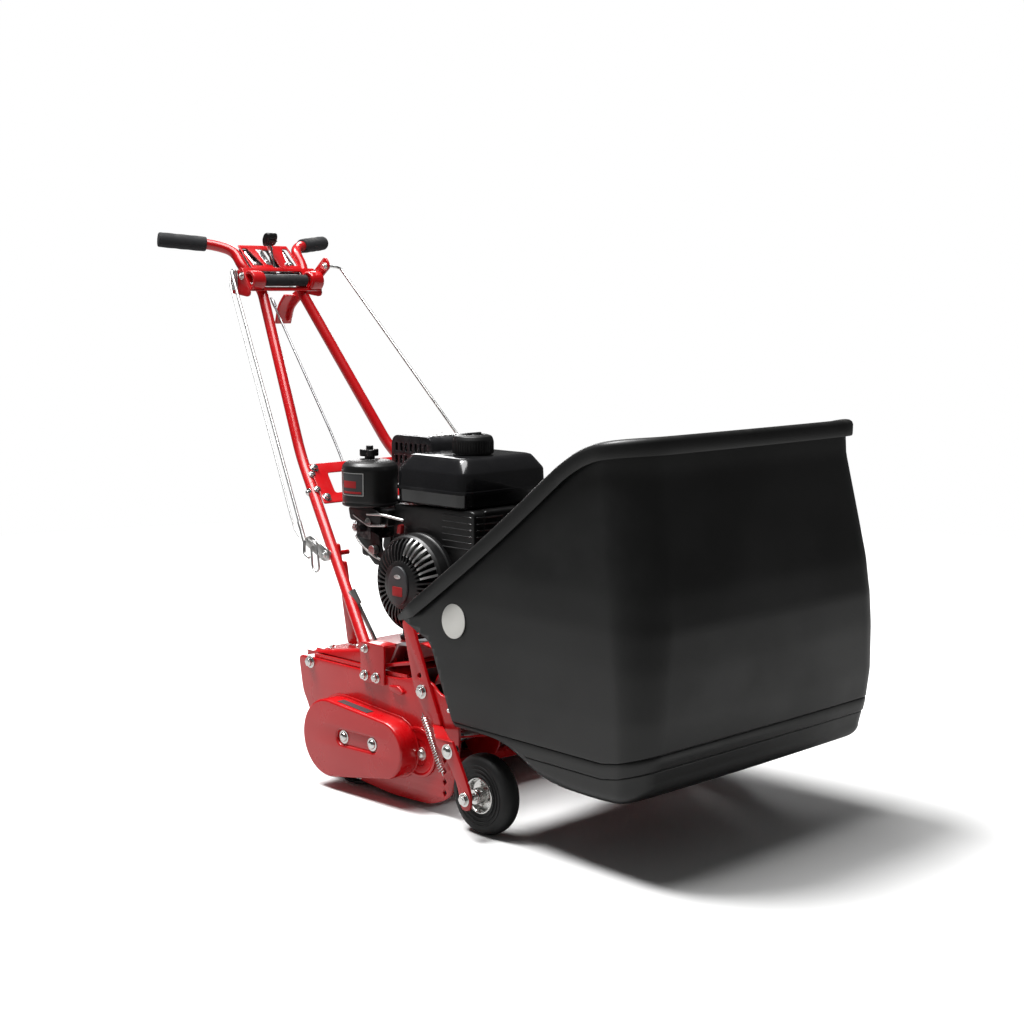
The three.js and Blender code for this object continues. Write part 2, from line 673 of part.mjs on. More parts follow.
function hub(s) {
  const x = (v) => s * v;
  return turnedX(
    [
      [6.4, x(254)], [14, x(254)], [14, x(270)], [34, x(268)], [36, x(258)], [WHEEL.rim, x(258)],
      [WHEEL.rim, x(292)], [36, x(292)], [34, x(284)], [16, x(280)], [16, x(304)], [6.4, x(304)], [6.4, x(254)],
    ],
    WHEEL.y, WHEEL.z, 20,
  );
}

function tyre(s) {
  const x = (v) => s * v;
  const bead = WHEEL.rim + 0.9;
  return turnedX(
    [
      [bead, x(257)], [60, x(256)], [67, x(260)], [70, x(268)], [70, x(282)], [67, x(290)], [60, x(294)],
      [bead, x(293)], [bead, x(257)],
    ],
    WHEEL.y, WHEEL.z, 28,
  );
}

for (const [side, s] of sides) {
  add(`wheel_arm_${side}`, wheelArm(s), RED);
  add(`wheel_bolt_${side}`, wheelBolt(s), ZINC);
  add(`hub_${side}`, hub(s), ZINC);
  add(`tyre_${side}`, tyre(s), RUBBER);
  const x = (v) => s * v;
  const bolt = [[0, x(250)], [6, x(250)], [6, x(270.2)], [11, x(270.2)], [11, x(277)], [0, x(277)]];
  add(`pivot_bolt_${side}`, turnedX(bolt, ARM_PIVOT.y, ARM_PIVOT.z, 14), ZINC);
}
add("catcher_rod", barX(203, 318, 5, -269, 269, 16), ZINC);

// ---------------------------------------------------------------- catcher
// Plan of the tub at one height: round front corners and a slightly bowed front, narrowing towards
// the back. The tub is barrel shaped, and full is 0 at its rim and base and 1 where it is widest.
function tubPlan(full, grow, back) {
  const w = CATCHER.half + CATCHER.swell[0] * full + grow;
  const front = CATCHER.front - CATCHER.swell[1] * full - grow;
  const r = CATCHER.corner + grow;
  const round = r * 0.45;
  const shape = new THREE.Shape();
  shape.moveTo(-(w - CATCHER.taper), back);
  shape.lineTo(-w, front + r);
  shape.bezierCurveTo(-w, front + round, -(w - r + round), front, -(w - r), front);
  shape.quadraticCurveTo(0, front - CATCHER.bow, w - r, front);
  shape.bezierCurveTo(w - r + round, front, w, front + round, w, front + r);
  shape.lineTo(w - CATCHER.taper, back);
  shape.closePath();
  return shape;
}

// A solid through plans at rising heights, all with the same number of points.
function loftZ(plans, heights) {
  const rings = plans.map((plan) => {
    const points = plan.getPoints(5);
    if (points[0].distanceTo(points[points.length - 1]) < 1e-6) points.pop();
    return THREE.ShapeUtils.isClockWise(points) ? points.reverse() : points;
  });
  const n = rings[0].length;
  const g = new THREE.BufferGeometry();
  const position = rings.flatMap((points, level) => points.flatMap((p) => [p.x, p.y, heights[level]]));
  g.setAttribute("position", new THREE.BufferAttribute(new Float32Array(position), 3));
  const index = [];
  for (let level = 0; level < rings.length - 1; level++) {
    for (let i = 0; i < n; i++) {
      const a = level * n + i;
      const b = level * n + ((i + 1) % n);
      index.push(a, b, b + n, a, b + n, a + n);
    }
  }
  const top = (rings.length - 1) * n;
  for (const [a, b, c] of THREE.ShapeUtils.triangulateShape(rings[0], [])) index.push(c, b, a);
  for (const [a, b, c] of THREE.ShapeUtils.triangulateShape(rings[rings.length - 1], [])) {
    index.push(top + a, top + b, top + c);
  }
  g.setIndex(index);
  return solid(g);
}

function tub(grow, back) {
  const heights = CATCHER.fullness.map(([z]) => z);
  return loftZ(CATCHER.fullness.map(([, full]) => tubPlan(full, grow, back)), heights);
}

function catcher() {
  const side = outline([
    [-450, 170, 0], [-352, 137, 20], [-290, 121, 40], [-160, 124, 40], [-62, 182, 30], [45, 182, 6],
    [62, 225, 10], [99, 322, 16], [172, 350, 10], [187, 356, 2], [-266, 676, 40], [-345, 700, 30], [-450, 708],
  ]);
  const inside = outline([
    [-500, 900], [-500, 176], [-350, 143, 20], [-290, 126, 40], [-162, 129, 40], [-64, 187, 30], [60, 187],
    [400, 187], [400, 900],
  ]);
  const rimLine = outline([
    [-450, 681], [-345, 676, 20], [-266, 652, 20], [178, 340], [187, 356], [-266, 676, 40],
    [-345, 700, 30], [-450, 708],
  ]);
  const outer = tub(0, 300).intersect(plateX(side, -400, 400, { curve: 4 }));
  const rim = plateZ(tubPlan(0, 12, 300), 60, 760).intersect(plateX(rimLine, -400, 400, { curve: 4 }));
  const hollow = tub(-CATCHER.wall, 320).intersect(plateX(inside, -400, 400, { curve: 4 }));
  return cut(join(outer, rim), hollow);
}
add("catcher", catcher(), BLACK);

// The origin is on the ground under the middle of the whole machine.
mower.position.set(0, -ORIGIN_Y, 0);

export default mower;
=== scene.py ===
"""Petrol reel mower with a front grass catcher: the finished surfaces round its fixed frame."""

import json
import math
import bmesh
import bpy
from mathutils import Matrix, Vector


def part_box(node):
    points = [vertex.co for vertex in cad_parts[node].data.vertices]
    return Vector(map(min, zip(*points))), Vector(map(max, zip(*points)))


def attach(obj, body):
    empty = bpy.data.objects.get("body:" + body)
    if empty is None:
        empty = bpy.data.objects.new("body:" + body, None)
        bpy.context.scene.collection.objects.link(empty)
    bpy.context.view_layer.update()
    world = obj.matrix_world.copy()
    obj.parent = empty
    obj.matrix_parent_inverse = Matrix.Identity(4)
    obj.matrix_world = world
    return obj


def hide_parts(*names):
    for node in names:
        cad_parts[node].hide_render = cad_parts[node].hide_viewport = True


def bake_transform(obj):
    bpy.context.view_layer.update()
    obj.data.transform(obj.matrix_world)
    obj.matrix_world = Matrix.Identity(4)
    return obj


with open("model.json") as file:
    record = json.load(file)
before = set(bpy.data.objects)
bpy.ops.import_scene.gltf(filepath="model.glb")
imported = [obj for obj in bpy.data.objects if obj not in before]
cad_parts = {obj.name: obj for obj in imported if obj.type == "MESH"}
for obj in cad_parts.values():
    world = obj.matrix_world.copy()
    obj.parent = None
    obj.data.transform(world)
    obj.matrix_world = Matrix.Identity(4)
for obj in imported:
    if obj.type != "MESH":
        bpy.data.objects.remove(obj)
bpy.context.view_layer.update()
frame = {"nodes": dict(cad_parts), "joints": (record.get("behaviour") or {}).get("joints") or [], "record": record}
RECORD = frame["record"]
JOINTS = {joint["name"]: joint for joint in frame["joints"]}
BODY_OF = {node: body for body, nodes in RECORD["behaviour"]["bodies"].items() for node in nodes}

# Places are in millimetres from the front axle: X to the left of the machine, Y back, Z up.
MM = 0.001
AXLE_Y = JOINTS["wheel_spin_right"]["pos_m"][1]


def at(x, y, z):
    return Vector((x * MM, y * MM + AXLE_Y, z * MM))


def joint_at(name):
    x, y, z = JOINTS[name]["pos_m"]
    return x / MM, (y - AXLE_Y) / MM, z / MM


def box_of(node):
    low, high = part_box(node)
    shift = Vector((0, AXLE_Y, 0))
    return (low - shift) / MM, (high - shift) / MM


SIDE_INNER = -box_of("side_plate_right")[1].x
SIDE_OUTER = -box_of("side_plate_right")[0].x
WHEEL = joint_at("wheel_spin_left")
DRUM = joint_at("drum_spin")
REEL = joint_at("reel_spin")
CRANK = joint_at("crank_spin")
ARM_PIVOT = joint_at("height_adjust")
LEVER_PIVOT = joint_at("bail_lift")
SIDES = (("right", -1), ("left", 1))


# ---------------------------------------------------------------- camera, floor and light
CAMERA_PLACE = (-2236.1, -2054.5, 925)
CAMERA_LENS = 60.34
CAMERA_DIP, CAMERA_TURN = 7.44, -44.55
SURROUND_LIGHT = 0.07
KEY_POWER, KEY_SPREAD = 3.9, 20
KEY_DIRECTION = (0.16, -0.42, -1.0)
FLOOR_RADIUS = 3.6
FLOOR_BOUNCE = (0.40, 0.40, 0.395, 1)
FLOOR_SEEN = (0.95, 0.95, 0.945, 1)


def make_camera():
    data = bpy.data.cameras.new("camera")
    data.sensor_width = 36
    data.lens = CAMERA_LENS
    data.clip_end = 50
    camera = bpy.data.objects.new("camera", data)
    camera.location = at(*CAMERA_PLACE)
    camera.rotation_euler = (math.radians(90 - CAMERA_DIP), 0, math.radians(CAMERA_TURN))
    bpy.context.scene.collection.objects.link(camera)
    bpy.context.scene.camera = camera


def area_light(name, place, target, width, height, power, colour=(1, 1, 1)):
    data = bpy.data.lights.new(name, "AREA")
    data.shape = "RECTANGLE"
    data.size, data.size_y, data.energy, data.color = width, height, power, colour
    light = bpy.data.objects.new(name, data)
    light.location = place
    light.rotation_euler = (Vector(target) - Vector(place)).to_track_quat("-Z", "Y").to_euler()
    bpy.context.scene.collection.objects.link(light)


def make_studio():
    """Plain soft studio: a broad key from behind, one overhead, a pale floor and a white surround."""
    scene = bpy.context.scene
    scene.view_settings.view_transform = "Standard"
    world = bpy.data.worlds.new("studio")
    world.use_nodes = True
    net = Net(world.node_tree)
    surround = world.node_tree.nodes["Background"]
    surround.inputs["Color"].default_value = (1, 1, 1, 1)
    surround.inputs["Strength"].default_value = SURROUND_LIGHT
    sheet = net.add("ShaderNodeBackground")
    sheet.inputs["Color"].default_value = (1, 1, 1, 1)
    blend = net.add("ShaderNodeMixShader")
    net.put(net.add("ShaderNodeLightPath").outputs["Is Camera Ray"], blend.inputs[0])
    net.put(surround.outputs[0], blend.inputs[1])
    net.put(sheet.outputs[0], blend.inputs[2])
    net.put(blend.outputs[0], world.node_tree.nodes["World Output"].inputs["Surface"])
    scene.world = world
    key = bpy.data.lights.new("key", "SUN")
    key.energy = KEY_POWER
    key.angle = math.radians(KEY_SPREAD)
    lamp = bpy.data.objects.new("key", key)
    lamp.rotation_euler = Vector(KEY_DIRECTION).to_track_quat("-Z", "Y").to_euler()
    scene.collection.objects.link(lamp)
    area_light("overhead", (-0.35, 0.1, 3.3), (0, 0, 0.2), 1.9, 1.9, 96)
    area_light("back_strip", (1.4, 2.0, 1.5), (0, 0, 0.6), 0.5, 1.8, 16)
    bpy.ops.mesh.primitive_circle_add(vertices=128, radius=FLOOR_RADIUS, fill_type="NGON")
    floor = bpy.context.object
    floor.name = "floor"
    material, net, principled = shader("floor_white")
    seen = net.add("ShaderNodeMix", data_type="RGBA")
    net.put(net.add("ShaderNodeLightPath").outputs["Is Camera Ray"], seen.inputs["Factor"])
    seen.inputs["A"].default_value = FLOOR_BOUNCE
    seen.inputs["B"].default_value = FLOOR_SEEN
    net.put(seen.outputs["Result"], principled.inputs["Base Color"])
    principled.inputs["Roughness"].default_value = 0.7
    floor.data.materials.append(material)


# ---------------------------------------------------------------- node groups
def new_group(name, inputs, outputs):
    group = bpy.data.node_groups.new(name, "ShaderNodeTree")
    for kind, label, start in inputs:
        socket = group.interface.new_socket(name=label, in_out="INPUT", socket_type=kind)
        socket.default_value = start
    for kind, label in outputs:
        group.interface.new_socket(name=label, in_out="OUTPUT", socket_type=kind)
    return group, group.nodes.new("NodeGroupInput"), group.nodes.new("NodeGroupOutput")


class Net:
    """Short calls for wiring nodes in one tree."""

    def __init__(self, tree):
        self.tree = tree

    def add(self, kind, **settings):
        node = self.tree.nodes.new(kind)
        for key, value in settings.items():
            setattr(node, key, value)
        return node

    def put(self, source, target):
        if isinstance(source, bpy.types.NodeSocket):
            self.tree.links.new(source, target)
        else:
            target.default_value = source

    def maths(self, operation, a, b=0.0):
        node = self.add("ShaderNodeMath", operation=operation)
        self.put(a, node.inputs[0])
        self.put(b, node.inputs[1])
        return node.outputs[0]

    def blend(self, share, a, b):
        node = self.add("ShaderNodeMix", data_type="RGBA")
        self.put(share, node.inputs["Factor"])
        self.put(a, node.inputs["A"])
        self.put(b, node.inputs["B"])
        return node.outputs["Result"]

    def noise(self, place, scale, detail=3.0, roughness=0.55):
        node = self.add("ShaderNodeTexNoise")
        node.inputs["Scale"].default_value = scale if not isinstance(scale, bpy.types.NodeSocket) else 1
        self.put(place, node.inputs["Vector"])
        self.put(scale, node.inputs["Scale"])
        node.inputs["Detail"].default_value = detail
        node.inputs["Roughness"].default_value = roughness
        return node.outputs["Fac"]

    def spread(self, value, low, high, to_low=0.0, to_high=1.0):
        node = self.add("ShaderNodeMapRange", interpolation_type="SMOOTHSTEP")
        self.put(value, node.inputs["Value"])
        node.inputs["From Min"].default_value = low
        node.inputs["From Max"].default_value = high
        self.put(to_low, node.inputs["To Min"])
        self.put(to_high, node.inputs["To Max"])
        return node.outputs["Result"]

    def place(self):
        return self.add("ShaderNodeTexCoord").outputs["Object"]


COLOUR = "NodeSocketColor"
VALUE = "NodeSocketFloat"


def group_mottle():
    """Soft clouds of a second colour, and roughness that follows them."""
    group, inlet, outlet = new_group(
        "mottle",
        [(COLOUR, "Colour", (1, 1, 1, 1)), (COLOUR, "Second", (1, 1, 1, 1)), (VALUE, "Scale", 8.0),
         (VALUE, "Share", 0.3), (VALUE, "Roughness", 0.4), (VALUE, "Spread", 0.1)],
        [(COLOUR, "Colour"), (VALUE, "Roughness")],
    )
    net = Net(group)
    cloud = net.spread(net.noise(net.place(), inlet.outputs["Scale"], 5.0), 0.35, 0.68)
    share = net.maths("MULTIPLY", cloud, inlet.outputs["Share"])
    net.put(net.blend(share, inlet.outputs["Colour"], inlet.outputs["Second"]), outlet.inputs["Colour"])
    swing = net.maths("MULTIPLY", net.maths("SUBTRACT", cloud, 0.5), inlet.outputs["Spread"])
    net.put(net.maths("ADD", inlet.outputs["Roughness"], swing), outlet.inputs["Roughness"])
    return group


def group_worn_and_highlit_edges():
    """Lighter convex edges, partly rubbed wear and partly a painted edge highlight, broken up so that they come
    and go.
    """
    group, inlet, outlet = new_group(
        "worn_and_highlit_edges",
        [(COLOUR, "Colour", (1, 1, 1, 1)), (COLOUR, "Worn", (1, 1, 1, 1)), (VALUE, "Amount", 0.4)],
        [(COLOUR, "Colour"), (VALUE, "Mask")],
    )
    net = Net(group)
    point = net.add("ShaderNodeNewGeometry").outputs["Pointiness"]
    # Pointiness picks out convex edges; their lighter colour is partly rubbed wear and partly a painted edge
    # highlight.
    edge = net.spread(point, 0.53, 0.62)
    patchy = net.spread(net.noise(net.place(), 90.0, 4.0), 0.42, 0.62)
    mask = net.maths("MULTIPLY", net.maths("MULTIPLY", edge, patchy), inlet.outputs["Amount"])
    net.put(net.blend(mask, inlet.outputs["Colour"], inlet.outputs["Worn"]), outlet.inputs["Colour"])
    net.put(mask, outlet.inputs["Mask"])
    return group


def group_dust():
    """Pale dust on the faces that look up."""
    group, inlet, outlet = new_group(
        "dust",
        [(COLOUR, "Colour", (1, 1, 1, 1)), (VALUE, "Amount", 0.1)],
        [(COLOUR, "Colour"), (VALUE, "Mask")],
    )
    net = Net(group)
    normal = net.add("ShaderNodeNewGeometry").outputs["Normal"]
    split = net.add("ShaderNodeSeparateXYZ")
    net.put(normal, split.inputs[0])
    up = net.spread(split.outputs["Z"], 0.3, 0.95)
    speck = net.spread(net.noise(net.place(), 34.0, 6.0), 0.4, 0.7)
    mask = net.maths("MULTIPLY", net.maths("MULTIPLY", up, speck), inlet.outputs["Amount"])
    net.put(net.blend(mask, inlet.outputs["Colour"], (0.42, 0.40, 0.37, 1)), outlet.inputs["Colour"])
    net.put(mask, outlet.inputs["Mask"])
    return group


def group_grain():
    """Height of a fine leathery or sprayed texture, in two sizes."""
    group, inlet, outlet = new_group(
        "grain",
        [(VALUE, "Scale", 300.0), (VALUE, "Coarse", 0.3)],
        [(VALUE, "Height")],
    )
    net = Net(group)
    place = net.place()
    fine = net.noise(place, inlet.outputs["Scale"], 2.0)
    coarse = net.noise(place, net.maths("MULTIPLY", inlet.outputs["Scale"], 0.16), 2.0)
    mixed = net.maths("ADD", fine, net.maths("MULTIPLY", coarse, inlet.outputs["Coarse"]))
    net.put(mixed, outlet.inputs["Height"])
    return group


def group_brushed():
    """Height of the fine ground lines that run along X."""
    group, inlet, outlet = new_group("brushed", [(VALUE, "Scale", 260.0)], [(VALUE, "Height")])
    net = Net(group)
    stretch = net.add("ShaderNodeMapping")
    net.put(net.place(), stretch.inputs["Vector"])
    stretch.inputs["Scale"].default_value = (0.06, 1, 1)
    net.put(net.noise(stretch.outputs[0], inlet.outputs["Scale"], 3.0), outlet.inputs["Height"])
    return group


MOTTLE = group_mottle()
WORN_AND_HIGHLIT_EDGES = group_worn_and_highlit_edges()
DUST = group_dust()
GRAIN = group_grain()
BRUSHED = group_brushed()


# ---------------------------------------------------------------- materials
def shader(name, metallic=0.0, coat=0.0, coat_roughness=0.1, specular=0.5, ior=1.5):
    material = bpy.data.materials.new(name)
    material.use_nodes = True
    principled = material.node_tree.nodes["Principled BSDF"]
    principled.inputs["Metallic"].default_value = metallic
    principled.inputs["Coat Weight"].default_value = coat
    principled.inputs["Coat Roughness"].default_value = coat_roughness
    principled.inputs["Specular IOR Level"].default_value = specular
    principled.inputs["IOR"].default_value = ior
    return material, Net(material.node_tree), principled


def use(net, group, **values):
    node = net.add("ShaderNodeGroup")
    node.node_tree = group
    for label, value in values.items():
        net.put(value, node.inputs[label.replace("_", " ")])
    return node


def rgba(colour):
    return (*colour, 1)


def plain(name, colour, roughness):
    material, net, principled = shader(name)
    mottle = use(net, MOTTLE, Colour=rgba(colour), Second=rgba([c * 0.97 for c in colour]), Scale=1.5,
                 Roughness=roughness)
    net.put(mottle.outputs["Colour"], principled.inputs["Base Color"])
    net.put(mottle.outputs["Roughness"], principled.inputs["Roughness"])
    return material


def finish(name, colour, second, worn_and_highlit, roughness, wear_and_highlight=0.3, dust=0.1, grain=300.0, coarse=0.3, bump=0.02,
           scale=9.0, share=0.35, depth=0.0004, **surface):
    """A mottled, dusty surface with a grained skin and lighter convex edges (partly wear, partly a painted edge
    highlight), all from the shared groups.
    """
    material, net, principled = shader(name, **surface)
    mottle = use(net, MOTTLE, Colour=rgba(colour), Second=rgba(second), Scale=scale, Share=share,
                 Roughness=roughness, Spread=0.14)
    # Convex edges take the lighter third colour: partly rubbed wear, partly a painted edge highlight.
    edge = use(net, WORN_AND_HIGHLIT_EDGES, Colour=mottle.outputs["Colour"], Worn=rgba(worn_and_highlit), Amount=wear_and_highlight)
    dusty = use(net, DUST, Colour=edge.outputs["Colour"], Amount=dust)
    net.put(dusty.outputs["Colour"], principled.inputs["Base Color"])
    rough = net.maths("ADD", mottle.outputs["Roughness"], net.maths("MULTIPLY", dusty.outputs["Mask"], 0.5))
    net.put(rough, principled.inputs["Roughness"])
    skin = use(net, GRAIN, Scale=grain, Coarse=coarse)
    height = net.add("ShaderNodeBump")
    height.inputs["Strength"].default_value = bump
    height.inputs["Distance"].default_value = depth
    net.put(skin.outputs["Height"], height.inputs["Height"])
    net.put(height.outputs["Normal"], principled.inputs["Normal"])
    return material


def metal_finish(name, colour, roughness, lines=260.0, bump=0.08, metallic=1.0, stain=(0.3, 0.3, 0.3),
                 share=0.2):
    material, net, principled = shader(name, metallic=metallic)
    brushed = use(net, BRUSHED, Scale=lines)
    mottle = use(net, MOTTLE, Colour=rgba(colour), Second=rgba(stain), Scale=40.0, Share=share,
                 Roughness=roughness, Spread=0.16)
    net.put(mottle.outputs["Colour"], principled.inputs["Base Color"])
    net.put(mottle.outputs["Roughness"], principled.inputs["Roughness"])
    height = net.add("ShaderNodeBump")
    height.inputs["Strength"].default_value = bump
    height.inputs["Distance"].default_value = 0.0003
    net.put(brushed.outputs["Height"], height.inputs["Height"])
    net.put(height.outputs["Normal"], principled.inputs["Normal"])
    return material


# The third colour of each finish goes on convex edges: partly wear, partly a painted edge highlight.
RED = finish("red_enamel", (0.56, 0.003, 0.006), (0.48, 0.002, 0.005), (0.66, 0.03, 0.03), 0.30, wear_and_highlight=0.35,
             dust=0.03, grain=420.0, coarse=1.5, bump=0.05, coat=0.55, coat_roughness=0.12, depth=0.0003)
CATCHER_BLACK = finish("catcher_black", (0.006, 0.0062, 0.0062), (0.009, 0.0092, 0.0092),
                       (0.02, 0.02, 0.02), 0.40,
                       wear_and_highlight=0.2, dust=0.03, grain=950.0, coarse=0.4, bump=0.22, scale=5.0, specular=0.5)
COVER_BLACK = finish("cover_black", (0.006, 0.006, 0.0063), (0.009, 0.009, 0.0093), (0.03, 0.03, 0.03),
                     0.36,
                     wear_and_highlight=0.3, dust=0.03, grain=1100.0, bump=0.18)
GLOSS_BLACK = finish("gloss_black", (0.008, 0.008, 0.009), (0.012, 0.012, 0.013), (0.03, 0.03, 0.03), 0.16,
                     wear_and_highlight=0.1, dust=0.01, grain=240.0, bump=0.03, coat=0.4, coat_roughness=0.05)
RUBBER = finish("tyre_rubber", (0.007, 0.007, 0.0075), (0.011, 0.011, 0.011), (0.03, 0.03, 0.029), 0.60,
                wear_and_highlight=0.3, dust=0.05, grain=800.0, bump=0.3, scale=20.0)
FOAM = finish("foam_rubber", (0.030, 0.031, 0.033), (0.045, 0.046, 0.048), (0.07, 0.07, 0.07), 0.86,
              wear_and_highlight=0.3, dust=0.12, grain=1500.0, coarse=0.9, bump=0.85, specular=0.25, depth=0.0008)
DRUM_IRON = finish("drum_iron", (0.020, 0.020, 0.022), (0.045, 0.040, 0.036), (0.30, 0.29, 0.28), 0.40,
                   wear_and_highlight=0.6, dust=0.2, grain=500.0, bump=0.2, metallic=0.4)
ENGINE_ALLOY = finish("engine_alloy", (0.030, 0.030, 0.032), (0.055, 0.055, 0.057), (0.25, 0.25, 0.25), 0.5,
                      wear_and_highlight=0.5, dust=0.2, grain=600.0, coarse=1.0, bump=0.5, metallic=0.5)
ZINC = metal_finish("bright_zinc", (0.80, 0.80, 0.79), 0.24, stain=(0.62, 0.60, 0.55), share=0.35)
STEEL = metal_finish("ground_steel", (0.62, 0.62, 0.62), 0.30, stain=(0.40, 0.38, 0.36), share=0.4)
SILVER_CAST = metal_finish("silver_casting", (0.78, 0.78, 0.77), 0.36, bump=0.2, share=0.3)
GALVANISED = metal_finish("galvanised_sheet", (0.72, 0.73, 0.74), 0.34, bump=0.15, stain=(0.5, 0.52, 0.54),
                          share=0.6)
DARK_METAL = metal_finish("dark_metal", (0.06, 0.06, 0.065), 0.35, metallic=0.8, stain=(0.12, 0.12, 0.12))
PALE_LABEL = plain("pale_label", (0.80, 0.79, 0.75), 0.35)
RED_LABEL = plain("red_label", (0.42, 0.012, 0.015), 0.4)
ROPE = plain("braided_rope", (0.05, 0.05, 0.052), 0.8)
GREY_LABEL = plain("grey_label", (0.055, 0.057, 0.060), 0.4)


# ---------------------------------------------------------------- making pieces
def piece(name, mesh, look, node=None, body=None, sharp=35, between=None):
    """One finished piece. It stands for a frame node, or is an extra that rides on a body, or is left loose in
    frame place.
    """
    mesh.materials.clear()
    mesh.materials.append(look)
    for face in mesh.polygons:
        face.use_smooth = True
    mesh.set_sharp_from_angle(angle=math.radians(sharp))
    obj = bpy.data.objects.new(name, mesh)
    bpy.context.scene.collection.objects.link(obj)
    if between:
        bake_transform(obj)
    else:
        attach(obj, body or BODY_OF[node])
    if node:
        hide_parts(node)
    return obj


def extra(name, mesh, look, body="root"):
    return piece(name, mesh, look, body=body)


def mesh_of(bm):
    mesh = bpy.data.meshes.new("shape")
    bmesh.ops.recalc_face_normals(bm, faces=bm.faces)
    bm.to_mesh(mesh)
    bm.free()
    return mesh


def joined(*meshes):
    bm = bmesh.new()
    for mesh in meshes:
        bm.from_mesh(mesh)
    mesh = bpy.data.meshes.new("joined")
    bm.to_mesh(mesh)
    bm.free()
    return mesh


def moved(mesh, matrix):
    mesh.transform(matrix)
    if matrix.determinant() < 0:
        mesh.flip_normals()
    return mesh


def rounded(points, radius=0.0, steps=5):
    """A closed outline with its corners rounded. Points are (u, v) or (u, v, corner radius)."""
    count = len(points)
    result = []
    for i, point in enumerate(points):
        here = Vector(point[:2])
        r = point[2] if len(point) > 2 else radius
        back = Vector(points[i - 1][:2]) - here
        on = Vector(points[(i + 1) % count][:2]) - here
        if not r:
            result.append(here)
            continue
        start = here + back.normalized() * min(r, back.length * 0.45)
        end = here + on.normalized() * min(r, on.length * 0.45)
        for k in range(steps + 1):
            t = k / steps
            result.append(start * (1 - t) ** 2 + here * (2 * t * (1 - t)) + end * t**2)
    return result


def circle(u, v, r, count=32, high=None):
    """A round outline, or an oval one when its half height is given too."""
    return [Vector((u + r * math.cos(a), v + (high or r) * math.sin(a)))
            for a in (2 * math.pi * i / count for i in range(count))]


def slab(outline, low, high, bevel=0.8, holes=(), steps=2):
    """A flat shape with rounded edges, lying in X and Y between two heights."""
    data = bpy.data.curves.new("slab", "CURVE")
    data.dimensions = "2D"
    data.fill_mode = "BOTH"
    data.extrude = (high - low) / 2 * MM - bevel * MM
    data.bevel_depth = bevel * MM
    data.bevel_resolution = steps
    data.offset = -bevel * MM
    for loop in (outline, *holes):
        spline = data.splines.new("POLY")
        spline.points.add(len(loop) - 1)
        for point, place in zip(spline.points, loop):
            point.co = (place[0] * MM, place[1] * MM, 0, 1)
        spline.use_cyclic_u = True
    obj = bpy.data.objects.new("slab", data)
    bpy.context.scene.collection.objects.link(obj)
    bpy.context.view_layer.update()
    mesh = bpy.data.meshes.new_from_object(obj.evaluated_get(bpy.context.evaluated_depsgraph_get()))
    bpy.data.objects.remove(obj)
    bm = bmesh.new()
    bm.from_mesh(mesh)
    bmesh.ops.remove_doubles(bm, verts=bm.verts, dist=1e-6)
    bmesh.ops.translate(bm, verts=bm.verts, vec=(0, 0, (low + high) / 2 * MM))
    return mesh_of(bm)


TO_YZ = Matrix(((0, 0, 1, 0), (1, 0, 0, AXLE_Y), (0, 1, 0, 0), (0, 0, 0, 1)))
TO_FRAME = Matrix.Translation((0, AXLE_Y, 0))


def plate_x(outline, x0, x1, bevel=0.8, holes=(), steps=2):
    """A flat shape drawn in Y and Z, between two X values."""
    return moved(slab(outline, min(x0, x1), max(x0, x1), bevel, holes, steps), TO_YZ)


def plate_z(outline, z0, z1, bevel=0.8, holes=(), steps=2):
    return moved(slab(outline, z0, z1, bevel, holes, steps), TO_FRAME)


def block(x0, x1, y0, y1, z0, z1, bevel=1.0):
    return plate_z([(x0, y0), (x1, y0), (x1, y1), (x0, y1)], z0, z1, bevel)


def turned(profile, segments=72, soft=0.8):
    """A solid of revolution round Z. Profile points are (radius, z), from the axis round to the axis."""
    loop = rounded(profile, soft, 3)
    bm = bmesh.new()
    rings = []
    for r, z in loop:
        if r < 0.01:
            rings.append([bm.verts.new((0, 0, z * MM))])
            continue
        rings.append([
            bm.verts.new((r * MM * math.cos(a), r * MM * math.sin(a), z * MM))
            for a in (2 * math.pi * i / segments for i in range(segments))
        ])
    for lower, upper in zip(rings, rings[1:] + rings[:1]):
        for i in range(segments):
            corners = [lower[i % len(lower)], lower[(i + 1) % len(lower)],
                       upper[(i + 1) % len(upper)], upper[i % len(upper)]]
            corners = list(dict.fromkeys(corners))
            if len(corners) > 2:
                bm.faces.new(corners)
    return mesh_of(bm)


def turned_x(profile, y, z, segments=72, soft=0.8):
    """A solid of revolution round a line along X. Profile points are (radius, x)."""
    spin = Matrix(((0, 0, 1, 0), (1, 0, 0, y * MM + AXLE_Y), (0, 1, 0, z * MM), (0, 0, 0, 1)))
    return moved(turned(profile, segments, soft), spin)


def bar_x(radius, x0, x1, y, z, segments=72):
    """A plain round bar along X."""
    return turned_x([(0, x0), (radius, x0), (radius, x1), (0, x1)], y, z, segments)


def turned_z(profile, x, y, segments=72, soft=0.8):
    return moved(turned(profile, segments, soft), Matrix.Translation(at(x, y, 0)))


def bent(points, bend, steps=8):
    """The key points of a line through straight runs with rounded bends."""
    places = [Vector(p) for p in points]
    keys = [places[0]]
    for before, here, after in zip(places, places[1:], places[2:]):
        back, on = before - here, after - here
        r = min(bend, back.length * 0.45, on.length * 0.45)
        start, end = here + back.normalized() * r, here + on.normalized() * r
        keys += [start * (1 - t) ** 2 + here * (2 * t * (1 - t)) + end * t**2
                 for t in (k / steps for k in range(steps + 1))]
    return keys + [places[-1]]


def skin(bm, rings):
    """The faces between closed rings of corners, and a cap on each end."""
    count = len(rings[0])
    for lower, upper in zip(rings, rings[1:]):
        for k in range(count):
            bm.faces.new((lower[k], lower[(k + 1) % count], upper[(k + 1) % count], upper[k]))
    bm.faces.new(rings[0])
    bm.faces.new(rings[-1])


